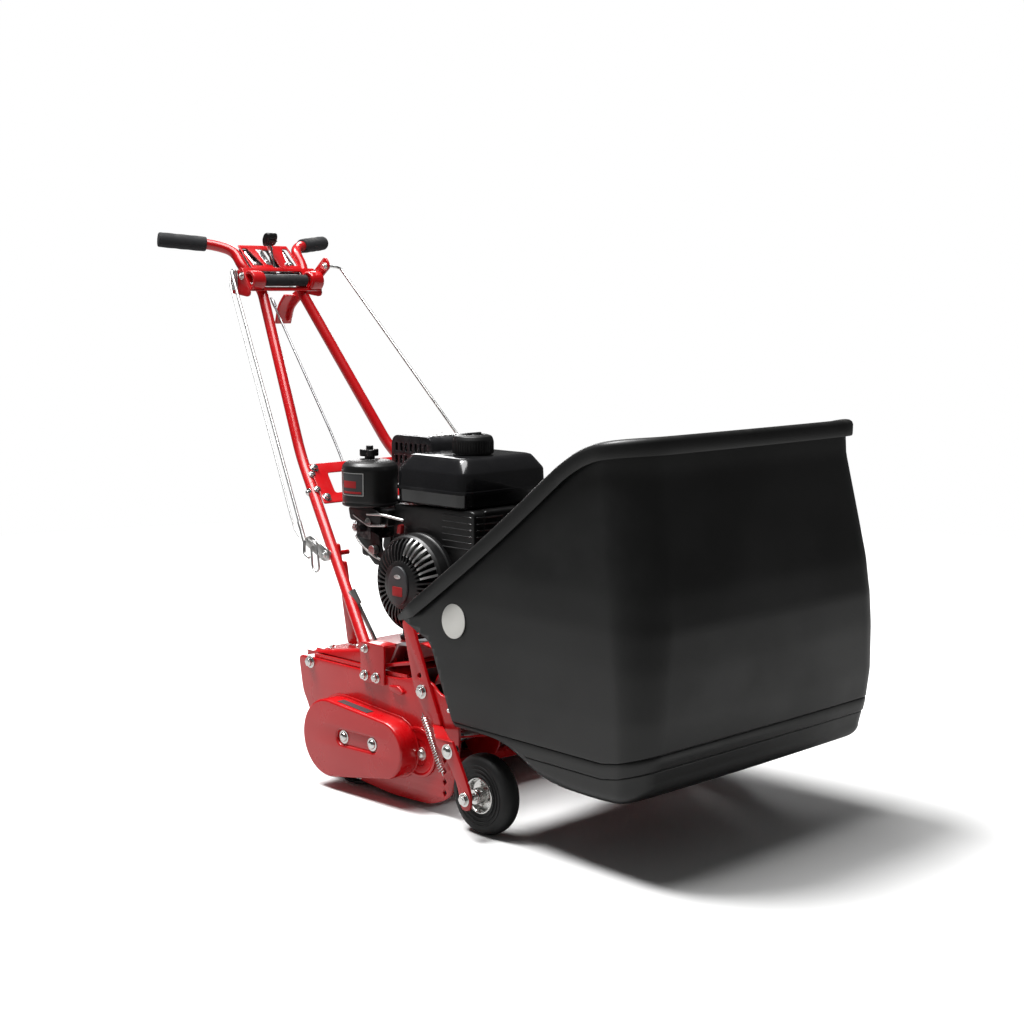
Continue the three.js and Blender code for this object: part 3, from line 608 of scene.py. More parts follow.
def swept(points, radius, bend=20, sides=24, radii=None):
    """A round bar along a bent line. Points are frame millimetres."""
    keys = bent(points, bend) if bend else [Vector(p) for p in points]
    bm = bmesh.new()
    rings = []
    side = None
    for i, here in enumerate(keys):
        before, after = keys[max(i - 1, 0)], keys[min(i + 1, len(keys) - 1)]
        along = (after - before).normalized()
        if side is None:
            side = along.orthogonal().normalized()
        side = (side - along * side.dot(along)).normalized()
        up = along.cross(side)
        r = radii[i] if radii else radius
        rings.append([
            bm.verts.new(at(*(here + (side * math.cos(a) + up * math.sin(a)) * r)))
            for a in (2 * math.pi * k / sides for k in range(sides))
        ])
    skin(bm, rings)
    return mesh_of(bm)


def refined(node, bevel=0.6, steps=2):
    """A copy of a frame node with its flat faces joined up and its edges rounded."""
    bm = bmesh.new()
    bm.from_mesh(frame["nodes"][node].data)
    bmesh.ops.remove_doubles(bm, verts=bm.verts, dist=2e-6)
    bmesh.ops.dissolve_limit(bm, angle_limit=math.radians(1), verts=bm.verts, edges=bm.edges)
    edges = [e for e in bm.edges if len(e.link_faces) == 2 and e.calc_face_angle(0) > math.radians(40)]
    bmesh.ops.bevel(bm, geom=edges, offset=bevel * MM, segments=steps, profile=0.5, affect="EDGES",
                    clamp_overlap=True)
    return mesh_of(bm)


def facing(mesh, x, y, z, towards):
    """Stands a mesh that was drawn up Z at a point, with its top in a given direction."""
    turn = Vector(towards).normalized().to_track_quat("Z", "Y").to_matrix().to_4x4()
    return moved(mesh, Matrix.Translation(at(x, y, z)) @ turn)


def bolt(x, y, z, r, towards, head=6.0):
    """A hexagon bolt head with its washer, its shank pointing away from `towards`."""
    washer = r * 1.35
    hexagon = [(r * math.cos(math.radians(60 * i)), r * math.sin(math.radians(60 * i))) for i in range(6)]
    parts = [
        slab(rounded(hexagon, r * 0.12, 2), 1.5, 1.5 + head, 0.7),
        turned([(0, 0), (washer, 0), (washer, 1.5), (0, 1.5)], 36, 0.4),
        turned([(0, head + 1.2), (r * 0.62, head + 1.2), (r * 0.5, head + 2.4), (0, head + 2.6)], 24, 0.3),
    ]
    return facing(joined(*parts), x, y, z, towards)


def dome_nut(x, y, z, r, towards):
    parts = [
        turned([(0, 0), (r * 1.45, 0), (r * 1.45, 1.6), (0, 1.6)], 36, 0.4),
        turned([(0, 1.6), (r, 1.6), (r, 3), (r * 0.85, 5), (r * 0.5, 6.6), (0, 7.1)], 36, 1.0),
    ]
    return facing(joined(*parts), x, y, z, towards)


# ---------------------------------------------------------------- side plates and deck
PLATE_EDGE = [
    (533, 229, 14), (240, 228, 30), (200, 237, 12), (152, 237, 16), (135, 219, 20), (104, 214, 24),
    (84, 180, 20), (81, 140, 20), (94, 66, 16), (105, 36, 20), (153, 14, 24), (261, 10, 30),
    (336, 17, 20), (400, 24, 20), (470, 60, 20), (508, 141, 20), (521, 160, 20),
]


def side_plates():
    diamonds = [[(124, z), (119, z + 7), (114, z), (119, z - 7)] for z in (103, 83, 63, 43)]
    holes = [circle(DRUM[1], DRUM[2], 15), circle(REEL[1], REEL[2], 23), *diamonds]
    for side, s in SIDES:
        name = f"side_plate_{side}"
        piece(name + "_sheet", plate_x(rounded(PLATE_EDGE, 10), s * SIDE_INNER, s * SIDE_OUTER, 1.0, holes),
              RED, name)
        face = s * SIDE_OUTER
        bolts = [bolt(face, 496, 220, 9, (s, 0, 0)), bolt(face, 100, 196, 5, (s, 0, 0)),
                 bolt(face, 352, 27, 5.5, (s, 0, 0)), dome_nut(face, 179, 102, 8, (s, 0, 0)),
                 bolt(face, 272, 46, 6, (s, 0, 0))]
        extra(f"plate_bolts_{side}", joined(*bolts), ZINC)
        boss = turned_x([(25, face), (46, face), (46, face + s * 3.6), (41, face + s * 3.6),
                         (38, face + s * 1.6),
                         (25, face + s * 1.6)], 186, 104, 64)
        extra(f"bearing_boss_{side}", boss, RED)
        tab = plate_x(rounded([(262, 214), (236, 216), (222, 206), (230, 200), (258, 204)], 4), face,
                      face + s * 6, 1.5)
        extra(f"pressed_tab_{side}", tab, RED)


def deck():
    """The folded deck with its side flanges and rear hoods, and the handle straps."""
    top, low, thick = 243, 231, 3
    fold = rounded([(-256.6, low), (-222, top, 8), (222, top, 8), (256.6, low), (253.6, low - 1),
                    (220.5, top - thick, 6), (-220.5, top - thick, 6), (-253.6, low - 1)])
    sheet = moved(slab(fold, 225, 495, 0.6), Matrix(((1, 0, 0, 0), (0, 0, 1, AXLE_Y), (0, 1, 0, 0),
                                                     (0, 0, 0, 1))))
    parts = [sheet]
    for _, s in SIDES:
        parts.append(plate_x([(226, 236), (494, 236), (494, 196), (226, 196)], s * 252.6, s * 255.6, 0.6))
        outer = SIDE_OUTER + 0.6
        parts.append(plate_x(rounded([(275, 210), (341, 210), (341, 284), (275, 284)], 5), s * outer,
                             s * (outer + 5), 1.0))
        parts.append(block(*sorted((s * (outer + 4), s * 236)), 275.5, 326.5, 278.5, 283.5, 1))
        parts.append(block(*sorted((s * 236, s * 241)), 275.5, 326.5, 240, 283.5, 1))
        hood = plate_x(rounded([(528, 232), (496, 240), (368, 262), (344, 262), (344, 232)], 6), s * 226,
                       s * 250, 6)
        parts.append(hood)
    piece("deck_sheet", joined(*parts), RED, "engine_deck")
    bolts = []
    for _, s in SIDES:
        face = s * (SIDE_OUTER + 5.6)
        bolts += [bolt(face, 328, 222, 7.5, (s, 0, 0)), bolt(face, 296, 222, 7.5, (s, 0, 0)),
                  bolt(face, 326, 272, 6, (s, 0, 0))]
        bolts += [bolt(s * 232, 470, 246, 6, (0, 0, 1), 5), bolt(s * 200, 430, 246, 6, (0, 0, 1), 5)]
    extra("deck_bolts", joined(*bolts), ZINC)


def shield():
    """The bent sheet that turns the clippings, lined with bright sheet between its two red bends."""
    bends = rounded([(225, 283, 6), (217, 263, 4), (200, 300, 8), (163, 295, 6), (139, 262, 8), (157, 229),
                     (159.2, 230.6), (142, 262.4, 6), (164.6, 292.4, 5), (199, 297.2, 6), (214, 263, 4),
                     (223, 281, 4)])
    piece("shield_sheet", plate_x(bends, -250, 250, 0.5), RED, "front_shield")
    lining = rounded([(205, 294, 3), (263, 288, 5), (286, 246, 3), (282, 246, 2), (260, 284, 5),
                      (206, 290, 3)])
    extra("shield_lining", plate_x(lining, -246, 246, 0.5), GALVANISED)
    band = rounded([(217, 262), (293, 246), (293, 240), (217, 256)], 1)
    extra("shield_band", plate_x(band, -256, 256, 0.8), RED)


def small_frame():
    for node, look in (("bed_bar", RED), ("bed_knife", STEEL), ("handle_brace_right", RED),
                       ("handle_brace_left", RED)):
        piece(node + "_finished", refined(node), look, node)
    bar = bar_x(9, -SIDE_INNER, SIDE_INNER, 506, 214, 40)
    piece("tie_tube", bar, RED, "rear_tie_bar")
    for side, s in SIDES:
        ring = [(10.6, s * 257.4), (21.6, s * 257.4), (21.6, s * 262.6), (17, s * 262.6), (16.2, s * 261.4),
                (13.6, s * 261.4), (12.8, s * 262.6), (10.6, s * 262.6)]
        piece(f"bearing_ring_{side}", turned_x(ring, REEL[1], REEL[2], 64, 0.3), STEEL,
              f"reel_bearing_{side}")


# ---------------------------------------------------------------- reel, drum and drives
def reel():
    blades, twist, half = 7, 1.1, 252
    bm = bmesh.new()
    steps = 40
    for b in range(blades):
        rows = []
        for i in range(steps + 1):
            turn = b / blades * 2 * math.pi + i / steps * twist
            x = -half + 2 * half * i / steps
            row = []
            for r, side in ((49, -1.8), (61.2, -1.8), (61.9, 1.2), (61.2, 1.8), (49, 1.8)):
                y = REEL[1] + r * math.cos(turn) - side * math.sin(turn)
                z = REEL[2] + r * math.sin(turn) + side * math.cos(turn)
                row.append(bm.verts.new(at(x, y, z)))
            rows.append(row)
        skin(bm, rows)
    strips = mesh_of(bm)
    discs = []
    for x in (-245, -82, 82, 245):
        discs.append(turned_x([(10.4, x - 2), (52, x - 2), (52, x + 2), (18, x + 2), (16, x + 6),
                               (10.4, x + 6)],
                              REEL[1], REEL[2], 64))
    piece("cutting_reel", joined(strips, *discs), RED, "reel_blades")
    piece("reel_spindle", bar_x(10, -296, 272, REEL[1], REEL[2], 40), STEEL, "reel_shaft")


CHAIN_PITCH = 9.525


def tooth_wheel(centre, teeth, bore, x0, x1, holes=()):
    pitch = CHAIN_PITCH / (2 * math.sin(math.pi / teeth))
    points = []
    for i in range(teeth * 6):
        a = i / (teeth * 6) * 2 * math.pi
        lift = (2.7, 1.2, -1.6, -2.6, -1.6, 1.2)[i % 6]
        points.append(((pitch + lift) * math.cos(a) + centre[1], (pitch + lift) * math.sin(a) + centre[2]))
    return plate_x(points, x0, x1, 0.5, [circle(centre[1], centre[2], bore), *holes])


def belt_loop(a, ra, b, rb, steps=40):
    """The loop that a belt or chain makes round two wheels, each given as (y, z)."""
    dy, dz = b[0] - a[0], b[1] - a[1]
    base = math.atan2(dz, dy)
    lean = math.acos((ra - rb) / math.hypot(dy, dz))
    loop = []
    for centre, r, start, span in ((a, ra, base + lean, 2 * math.pi - 2 * lean),
                                   (b, rb, base - lean, 2 * lean)):
        for i in range(steps + 1):
            t = start + span * i / steps
            loop.append(Vector((centre[0] + r * math.cos(t), centre[1] + r * math.sin(t))))
    return loop


def along_loop(loop, pitch):
    """Places and directions a fixed pitch apart round a closed line."""
    lengths = [(b - a).length for a, b in zip(loop, loop[1:] + loop[:1])]
    count = round(sum(lengths) / pitch)
    step = sum(lengths) / count
    result, i, gone = [], 0, 0.0
    for k in range(count):
        want = k * step
        while gone + lengths[i] < want:
            gone += lengths[i]
            i += 1
        a, b = loop[i], loop[(i + 1) % len(loop)]
        result.append((a.lerp(b, (want - gone) / lengths[i]), (b - a).normalized()))
    return result


def grooved(r, bore, x):
    """The profile of a wheel with one V groove."""
    return [(bore, x - 9), (r, x - 9), (r, x - 7), (r - 9, x - 3.6), (r - 9, x + 3.6), (r, x + 7),
            (r, x + 9),
            (bore, x + 9)]


def drives():
    """The roller chain and the belt, with what they run on."""
    x0, x1 = -288, -282
    piece("reel_tooth_wheel", tooth_wheel(REEL, 10, 10.4, x0, x1), STEEL, "reel_sprocket")
    windows = [circle(DRUM[1] + 27 * math.cos(a), DRUM[2] + 27 * math.sin(a), 8, 20)
               for a in (math.pi / 2 * i + 0.5 for i in range(4))]
    piece("drum_tooth_wheel", tooth_wheel(DRUM, 30, 12.9, x0, x1, windows), STEEL, "drum_sprocket")
    loop = belt_loop((REEL[1], REEL[2]), 21.6, (DRUM[1], DRUM[2]), 51.8)
    links = []
    for k, (place, along) in enumerate(along_loop(loop, CHAIN_PITCH)):
        out = 2.45 if k % 2 else 1.5
        turn = math.atan2(along.y, along.x)
        link = [(place.x + u * math.cos(turn) - v * math.sin(turn),
                 place.y + u * math.sin(turn) + v * math.cos(turn))
                for u, v in ((-5.6, 0), (-4, 2.2), (0, 1.5), (4, 2.2), (5.6, 0), (4, -2.2), (0, -1.5),
                             (-4, -2.2))]
        links.append(plate_x(link, -285 - out, -285 - out + 0.8, 0.15, steps=1))
        links.append(plate_x(link, -285 + out - 0.8, -285 + out, 0.15, steps=1))
    piece("roller_chain", joined(*links), STEEL, "reel_chain")
    belt_x = (box_of("drive_belt")[0].x + box_of("drive_belt")[1].x) / 2
    around = (CRANK[1], CRANK[2]), 28, (DRUM[1], DRUM[2]), 76
    inner = belt_loop(*around)
    outer = belt_loop(around[0], 35, around[2], 83)
    piece("v_belt", plate_x(outer, belt_x - 3.4, belt_x + 3.4, 0.8, [inner]), RUBBER, "drive_belt")
    piece("drum_belt_wheel", turned_x(grooved(84, 12.9, belt_x), DRUM[1], DRUM[2], 96), DRUM_IRON,
          "drum_pulley")
    crank = joined(turned_x(grooved(36, 0, belt_x), CRANK[1], CRANK[2], 72),
                   bar_x(12, 134, belt_x, CRANK[1], CRANK[2], 40))
    piece("crank_belt_wheel", crank, STEEL, "crank_pulley")


def drum_roller():
    right, left, r = -248, 160, 100
    shell = turned_x([(r - 5, right), (r - 1.5, right), (r, right + 2), (r, -46), (r - 1, -45),
                      (r - 1, -43),
                      (r, -42), (r, left - 2), (r - 1.5, left), (r - 5, left)], DRUM[1], DRUM[2], 128, 0.5)
    webs = []
    holes = [circle(DRUM[1] + 55 * math.cos(a), DRUM[2] + 55 * math.sin(a), 15, 28)
             for a in (math.pi / 2 * i + math.pi / 4 for i in range(4))]
    for x in (right + 12, left - 12):
        webs.append(plate_x(circle(DRUM[1], DRUM[2], r - 4, 96), x - 3, x + 3, 0.6, holes))
        webs.append(turned_x([(12, x - 12), (24, x - 12), (24, x + 12), (12, x + 12)], DRUM[1], DRUM[2],
                             48))
    shaft = bar_x(12.5, -296, 272, DRUM[1], DRUM[2], 48)
    piece("drum_roller", joined(shell, *webs, shaft), DRUM_IRON, "drum")


def chain_cover():
    """The pressed cover over the reel chain, with its long recess, two bolts and a flat tag on top."""
    front, rear = (241, 104), (397, 97)
    outer = belt_loop(front, 53, rear, 73)
    face = plate_x(outer, -302, -297, 4.4, [belt_loop((268, 108), 13.5, (356, 106), 13.5, 16)], steps=5)
    wall = plate_x(outer, -299, -SIDE_OUTER - 0.4, 0.4, [belt_loop(front, 50.5, rear, 70.5)])
    recess = plate_x(belt_loop((268, 108), 15, (356, 106), 15, 16), -299, -297.6, 0.4)
    piece("chain_cover", joined(face, wall, recess), RED, "chain_case")
    nuts = joined(dome_nut(-299, 352, 107, 8.6, (-1, 0, 0)), dome_nut(-299, 272, 108, 8.6, (-1, 0, 0)))
    extra("chain_cover_nuts", nuts, ZINC)
    tag = plate_x([(376, 169.3), (292, 162.3), (292, 160.9), (376, 167.9)], -295, -279, 0.2)
    extra("chain_cover_tag", tag, GREY_LABEL)
    rim = plate_x(belt_loop(front, 57, rear, 77), -SIDE_OUTER - 3, -SIDE_OUTER - 0.4, 1.0,
                  [belt_loop(front, 52, rear, 72)])
    extra("chain_cover_flange", rim, RED)


# ---------------------------------------------------------------- front arms and wheels
def wheel_arms():
    low_in, low_out = 320, 326
    for side, s in SIDES:
        near, far = s * (SIDE_OUTER + 0.6), s * (SIDE_OUTER + 6.6)
        upper = rounded([(222, 334, 4), (212, 347, 8), (198, 342, 6), (148, 225, 20), (122, 168, 4),
                         (122, 158),
                         (150, 158), (190, 215, 20)], 2)
        lower = rounded([(72, 164), (31, 164), (2, 112, 10), (-14, 80, 10), (-13, 52, 10), (8, 50, 10),
                         (18, 92, 20), (42, 128, 20), (72, 152, 8)], 2)
        shelf = [(near, 150), (near, 122), (s * low_out, 31), (s * low_out, 72)]
        if s < 0:
            shelf.reverse()
        arm = joined(plate_x(upper, near, far, 1.0, [circle(177, 246, 5)]),
                     plate_x(lower, s * low_in, s * low_out, 1.0), plate_z(shelf, 158, 164, 1.2))
        piece(f"arm_{side}", arm, RED, f"wheel_arm_{side}")
        bolts = [dome_nut(s * low_out, 42, 145, 9, (s, 0, 0)), bolt(s * low_in, 42, 145, 9, (-s, 0, 0), 12),
                 swept([(s * (low_in - 2), 46, 146), (s * (low_in - 14), 60, 143),
                        (s * (low_in - 30), 72, 146)],
                       4, 6, 14)]
        extra(f"height_pin_{side}", joined(*bolts), ZINC, "front_frame")
        axle = joined(bar_x(6, s * 252, s * 326.4, WHEEL[1], WHEEL[2], 32),
                      bolt(s * 326.4, WHEEL[1], WHEEL[2], 9, (s, 0, 0), 5))
        piece(f"axle_bolt_{side}", axle, ZINC, f"wheel_bolt_{side}")
        shank = bar_x(6, s * 250, s * 270.2, ARM_PIVOT[1], ARM_PIVOT[2], 32)
        pivot = joined(shank, bolt(s * 270.2, ARM_PIVOT[1], ARM_PIVOT[2], 9.5, (s, 0, 0), 5))
        piece(f"arm_pivot_bolt_{side}", pivot, ZINC, f"pivot_bolt_{side}")
        extra(f"arm_spring_{side}", coil_spring((s * 275, 160, 176), (s * 275, 112, 84), 5.2, 1.1, 22),
              ZINC,
              "front_frame")
    rod = bar_x(5, -269, 269, 203, 318, 24)
    piece("catcher_hanger", rod, ZINC, "catcher_rod")


def coil_spring(start, end, radius, wire, turns):
    """A close spring with a straight hook at each end."""
    start, end = Vector(start), Vector(end)
    along = (end - start).normalized()
    side = along.orthogonal().normalized()
    up = along.cross(side)
    points = [start - along * 6]
    count = turns * 10
    for i in range(count + 1):
        a = i / 10 * 2 * math.pi
        points.append(start + (end - start) * (i / count) + (side * math.cos(a) + up * math.sin(a)) * radius)
    points.append(end + along * 6)
    return swept(points, wire, 0, 6)


def on_side(s, profile):
    """A profile drawn for the left side, put on either side."""
    return [(r, s * x) for r, x in profile]


def wheels():
    for side, s in SIDES:
        bead = 32.4
        profile = [(bead, 257), (56, 255.5), (62, 257), (66.5, 261), (69.4, 267), (70, 271), (70, 279),
                   (69.4, 283), (66.5, 289), (62, 293), (56, 294.5), (bead, 293)]
        rubber = [turned_x(on_side(s, profile), WHEEL[1], WHEEL[2], 128, 2.5)]
        for r in (37, 44, 51):
            rib = [(r, 293.2), (r + 1.6, 293.2), (r + 1.6, 295.4), (r, 295.4)]
            rubber.append(turned_x(on_side(s, rib), WHEEL[1], WHEEL[2], 96, 0.5))
        piece(f"tyre_{side}_rubber", joined(*rubber), RUBBER, f"tyre_{side}")
        dish = [(6.4, 254), (13, 254), (13, 270), (26, 272), (28, 258), (32, 257), (32, 293), (29.5, 294),
                (27.5, 291), (26, 281), (15, 279), (13, 304), (6.4, 304)]
        dish = turned_x(on_side(s, dish), WHEEL[1], WHEEL[2], 96)
        spokes = []
        for i in range(5):
            a = 2 * math.pi * i / 5
            y, z = WHEEL[1] + 20 * math.cos(a), WHEEL[2] + 20 * math.sin(a)
            stud = [(0, 278), (4.8, 278), (4.2, 283), (2.6, 284), (0, 284)]
            spokes.append(turned_x(on_side(s, stud), y, z, 24))
        piece(f"wheel_hub_{side}", joined(dish, *spokes), ZINC, f"hub_{side}")


# ---------------------------------------------------------------- handle
TUBE_R = 11
HANDLE = [(250, 341, 258), (118, 705, 590), (50, 920, 925), (80, 940, 964), (80, 972, 1002),
          (112, 1002, 1015),
          (215, 1048, 1025)]


def lerp(a, b, t):
    return tuple(u + (v - u) * t for u, v in zip(a, b))


def handle():
    for side, s in SIDES:
        path = [(s * x, y, z) for x, y, z in HANDLE]
        split = lerp(path[0], path[1], 0.83)
        lower = swept([path[0], split], TUBE_R, 0, 36)
        tongue = swept([lerp(path[0], path[1], -0.02), lerp(path[0], path[1], 0.04)], 8.5, 0, 24)
        piece(f"lower_tube_{side}", joined(lower, tongue), RED, f"handle_tube_lower_{side}")
        upper = swept([lerp(path[0], path[1], 0.8315), *path[1:]], TUBE_R, 34, 36)
        piece(f"upper_tube_{side}", upper, RED, f"handle_tube_upper_{side}")
        start, end = lerp(path[5], path[6], 0.14), lerp(path[5], path[6], 1.03)
        count = 22
        radii = []
        for i in range(count + 1):
            edge = min(i, count - i)
            radii.append((10.0, 13.6, 14.8, 15.3)[edge] if edge < 4 else 15.6 + 0.25 * math.sin(i * 1.3))
        stations = [0, 0.004, 0.014, 0.03] + [0.03 + 0.94 * i / (count - 6) for i in range(1, count - 6)]
        stations += [0.97, 0.986, 0.996, 1]
        grip = swept([lerp(start, end, t) for t in stations], 15, 0, 40, radii)
        piece(f"foam_grip_{side}", grip, FOAM, f"grip_{side}")
        clamps = []
        for t in (0.79, 0.87):
            x, y, z = lerp(path[0], path[1], t)
            clamps.append(bolt(x - s * 2, y - 8, z + 8.6, 6, (0, -0.674, 0.739), 4))
        low = lerp(path[0], path[1], 0.80)
        clamps.append(bolt(low[0] + s * 10, low[1], low[2], 6, (s, 0, 0), 4))
        extra(f"tube_bolts_{side}", joined(*clamps), ZINC)
        foot = rounded([(-9, -8), (9, -8), (9, 44), (-9, 44)], 6)
        clip = moved(slab(foot, -2, 2, 1.0), Matrix.Translation(at(s * 256, 340, 250)) @ face_turn(s))
        extra(f"tube_foot_{side}", clip, RED)
    handle_brace()


def face_turn(s):
    """Turns a flat shape to lie along the lower handle tube with its face to the side."""
    along = (Vector(HANDLE[1]) - Vector(HANDLE[0]))
    along.x *= s
    along.normalize()
    out = Vector((s, 0, 0))
    out = (out - along * out.dot(along)).normalized()
    across = along.cross(out)
    turn = Matrix((across, along, out)).transposed().to_4x4()
    return turn


def handle_brace():
    plate = rounded([(-150, 0), (150, 0), (128, 104), (-128, 104)], 5)
    window = rounded([(-108, 24), (108, 24), (96, 78), (-96, 78)], 7)
    along = Vector((0, 364, 332)).normalized()
    out = Vector((0, -332, 364)).normalized()
    turn = Matrix((Vector((1, 0, 0)), along, out)).transposed().to_4x4()
    start = Vector((0, 600, 494)) + out * (TUBE_R + 1.2)
    mesh = moved(slab(plate, 0, 3, 0.8, [window]), Matrix.Translation(at(*start)) @ turn)
    lip = moved(slab(rounded([(-104, 20), (104, 20), (104, 25), (-104, 25)], 1), -7, 2, 0.8),
                Matrix.Translation(at(*start)) @ turn)
    piece("cross_brace_plate", joined(mesh, lip), RED, "handle_cross_brace")
    bolts = []
    for x, v in ((-136, 14), (136, 14), (-122, 92), (122, 92)):
        place = start + Vector((x, 0, 0)) + along * v + out * 3
        bolts.append(bolt(*place, 7, out, 5))
    extra("cross_brace_bolts", joined(*bolts), ZINC)


# ---------------------------------------------------------------- console and controls
def sheet_turn(low, high):
    """Places a flat sheet, drawn in X and its own height, between two points given as (y, z)."""
    along = Vector((0, high[0] - low[0], high[1] - low[1])).normalized()
    out = Vector((1, 0, 0)).cross(along)
    turn = Matrix((Vector((1, 0, 0)), along, out)).transposed().to_4x4()
    return Matrix.Translation(at(0, *low)) @ turn


def console():
    panel = rounded([(-66, 0), (66, 0), (64, 76), (-64, 76)], 3)
    slots = [
        rounded([(-58, 12), (-30, 12), (-46, 66), (-60, 66)], 5),
        rounded([(58, 12), (30, 12), (46, 66), (60, 66)], 5),
        rounded([(-9, 6), (9, 6), (9, 62), (-9, 62)], 4),
    ]
    top = moved(slab(panel, 0, 3, 0.8, slots), sheet_turn((928, 962), (984, 1013)))
    face = rounded([(-95, 0), (95, 0), (95, 56), (-95, 56)], 6)
    window = rounded([(-58, 9), (58, 9), (58, 48), (-58, 48)], 7)
    front = moved(slab(face, 0, 3, 0.8, [window]), sheet_turn((899, 918), (929, 966)))
    cheek = rounded([(896, 914), (905, 906), (965, 914), (968, 944), (932, 968), (926, 966)], 9)
    cheeks = [plate_x(cheek, *sorted((s * 92.4, s * 95.4)), 0.8) for _, s in SIDES]
    ears = []
    for _, s in SIDES:
        ears.append(turned_x([(13, s * 60), (19, s * 60), (21, s * 66), (21, s * 92), (14, s * 92)], 907,
                             940, 40, 2))
    piece("console_sheets", joined(top, front, *cheeks, *ears), RED, "console")
    under = []
    for x in (-46, 46):
        under.append(swept([(x - 6, 932, 958), (x, 952, 974), (x + (4 if x > 0 else -4), 978, 998)], 5.2, 6,
                           16))
        under.append(bolt(x, 944, 974, 6, (0, -0.67, 0.74), 3))
    extra("console_lever_rods", joined(*under), ZINC)
    travel = rounded([(-10, 0), (10, 0), (10, 71), (-10, 71)], 3)
    back = moved(slab(rounded([(-62, -3), (62, -3), (60, 74), (-60, 74)], 3), -9, -7, 0.6, [travel]),
                 sheet_turn((928, 962), (984, 1013)))
    extra("console_backing", back, DARK_METAL)
    plate = moved(slab(rounded([(-24, 16), (-11, 12), (-11, 62), (-26, 62)], 3), 2.8, 4.2, 0.5),
                  sheet_turn((928, 962), (984, 1013)))
    screws = [bolt(x, y, z, 3.4, (0, -0.67, 0.74), 2) for x, y, z in
              ((-18, 944, 981), (-18, 966, 1001), (30, 938, 975), (18, 976, 1009))]
    extra("throttle_plate", joined(plate, *screws), GALVANISED)
    bolts = [bolt(-95.5, 925, 950, 6, (-1, 0, 0), 4)]
    bolts += [bolt(s * 80, 906, 933, 6, (0, -0.85, 0.5), 4) for _, s in SIDES]
    extra("console_bolts", joined(*bolts), ZINC)


def drive_bail():
    """The foam bar on its two arms, the cross shaft, and the clevis arm outside the console."""
    count = 16
    middle = [12.0 + 0.15 * math.sin(i * 1.7) for i in range(count - 6)]
    radii = [9.0, 11.0, 11.8] + middle + [11.8, 11.0, 9.0]
    span = [-56, -55.2, -53.5] + [-51 + 102 * i / (count - 7) for i in range(count - 6)] + [53.5, 55.2, 56]
    foam = swept([(x, 905, 941) for x in span], 12, 0, 40, radii)
    piece("bail_foam", foam, FOAM, "bail")
    arm = rounded([(902, 946), (902, 936), (942, 925), (950, 930), (946, 936)], 3)
    clevis = rounded([(938, 924), (952, 924), (951, 964), (939, 964)], 6)
    pivot_y, pivot_z = LEVER_PIVOT[1], LEVER_PIVOT[2]
    metal = [plate_x(arm, -44, -40, 0.8), plate_x(arm, 40, 44, 0.8),
             bar_x(4, -104, 44, pivot_y, pivot_z, 24),
             plate_x(clevis, -104, -101, 0.7), plate_x(clevis, -98.5, -96, 0.7),
             bolt(-104, pivot_y, pivot_z, 7, (-1, 0, 0), 4), bolt(-104, 945, 958, 5, (-1, 0, 0), 3)]
    extra("bail_lever", joined(*metal), SILVER_CAST, "bail")


def clutch_lever():
    shape = rounded([
        (882, 982, 8), (878, 968, 8), (942, 920, 10), (975, 905, 20), (1010, 880, 20), (1020, 852, 6),
        (1040, 852, 4), (1052, 872, 10), (1040, 895, 20), (1000, 918, 20), (958, 940, 10), (894, 992, 8),
    ])
    y, z = LEVER_PIVOT[1], LEVER_PIVOT[2]
    shaft = bar_x(4, 86, 100, y, z, 24)
    thumb = plate_x(rounded([(994, 908), (1018, 884, 14), (1032, 846), (1038, 847), (1027, 887, 16),
                             (1002, 912)], 2),
                    70, 112, 1.5)
    piece("clutch_hook", joined(plate_x(shape, 98, 103, 1.1), shaft, thumb), RED, "reel_clutch_lever")
    metal = joined(bolt(103, 891, 971, 6.5, (1, 0, 0), 4), bolt(98, 891, 971, 6.5, (-1, 0, 0), 4),
                   bolt(103, y, z, 7, (1, 0, 0), 4))
    extra("clutch_bolts", metal, ZINC, "reel_lever")


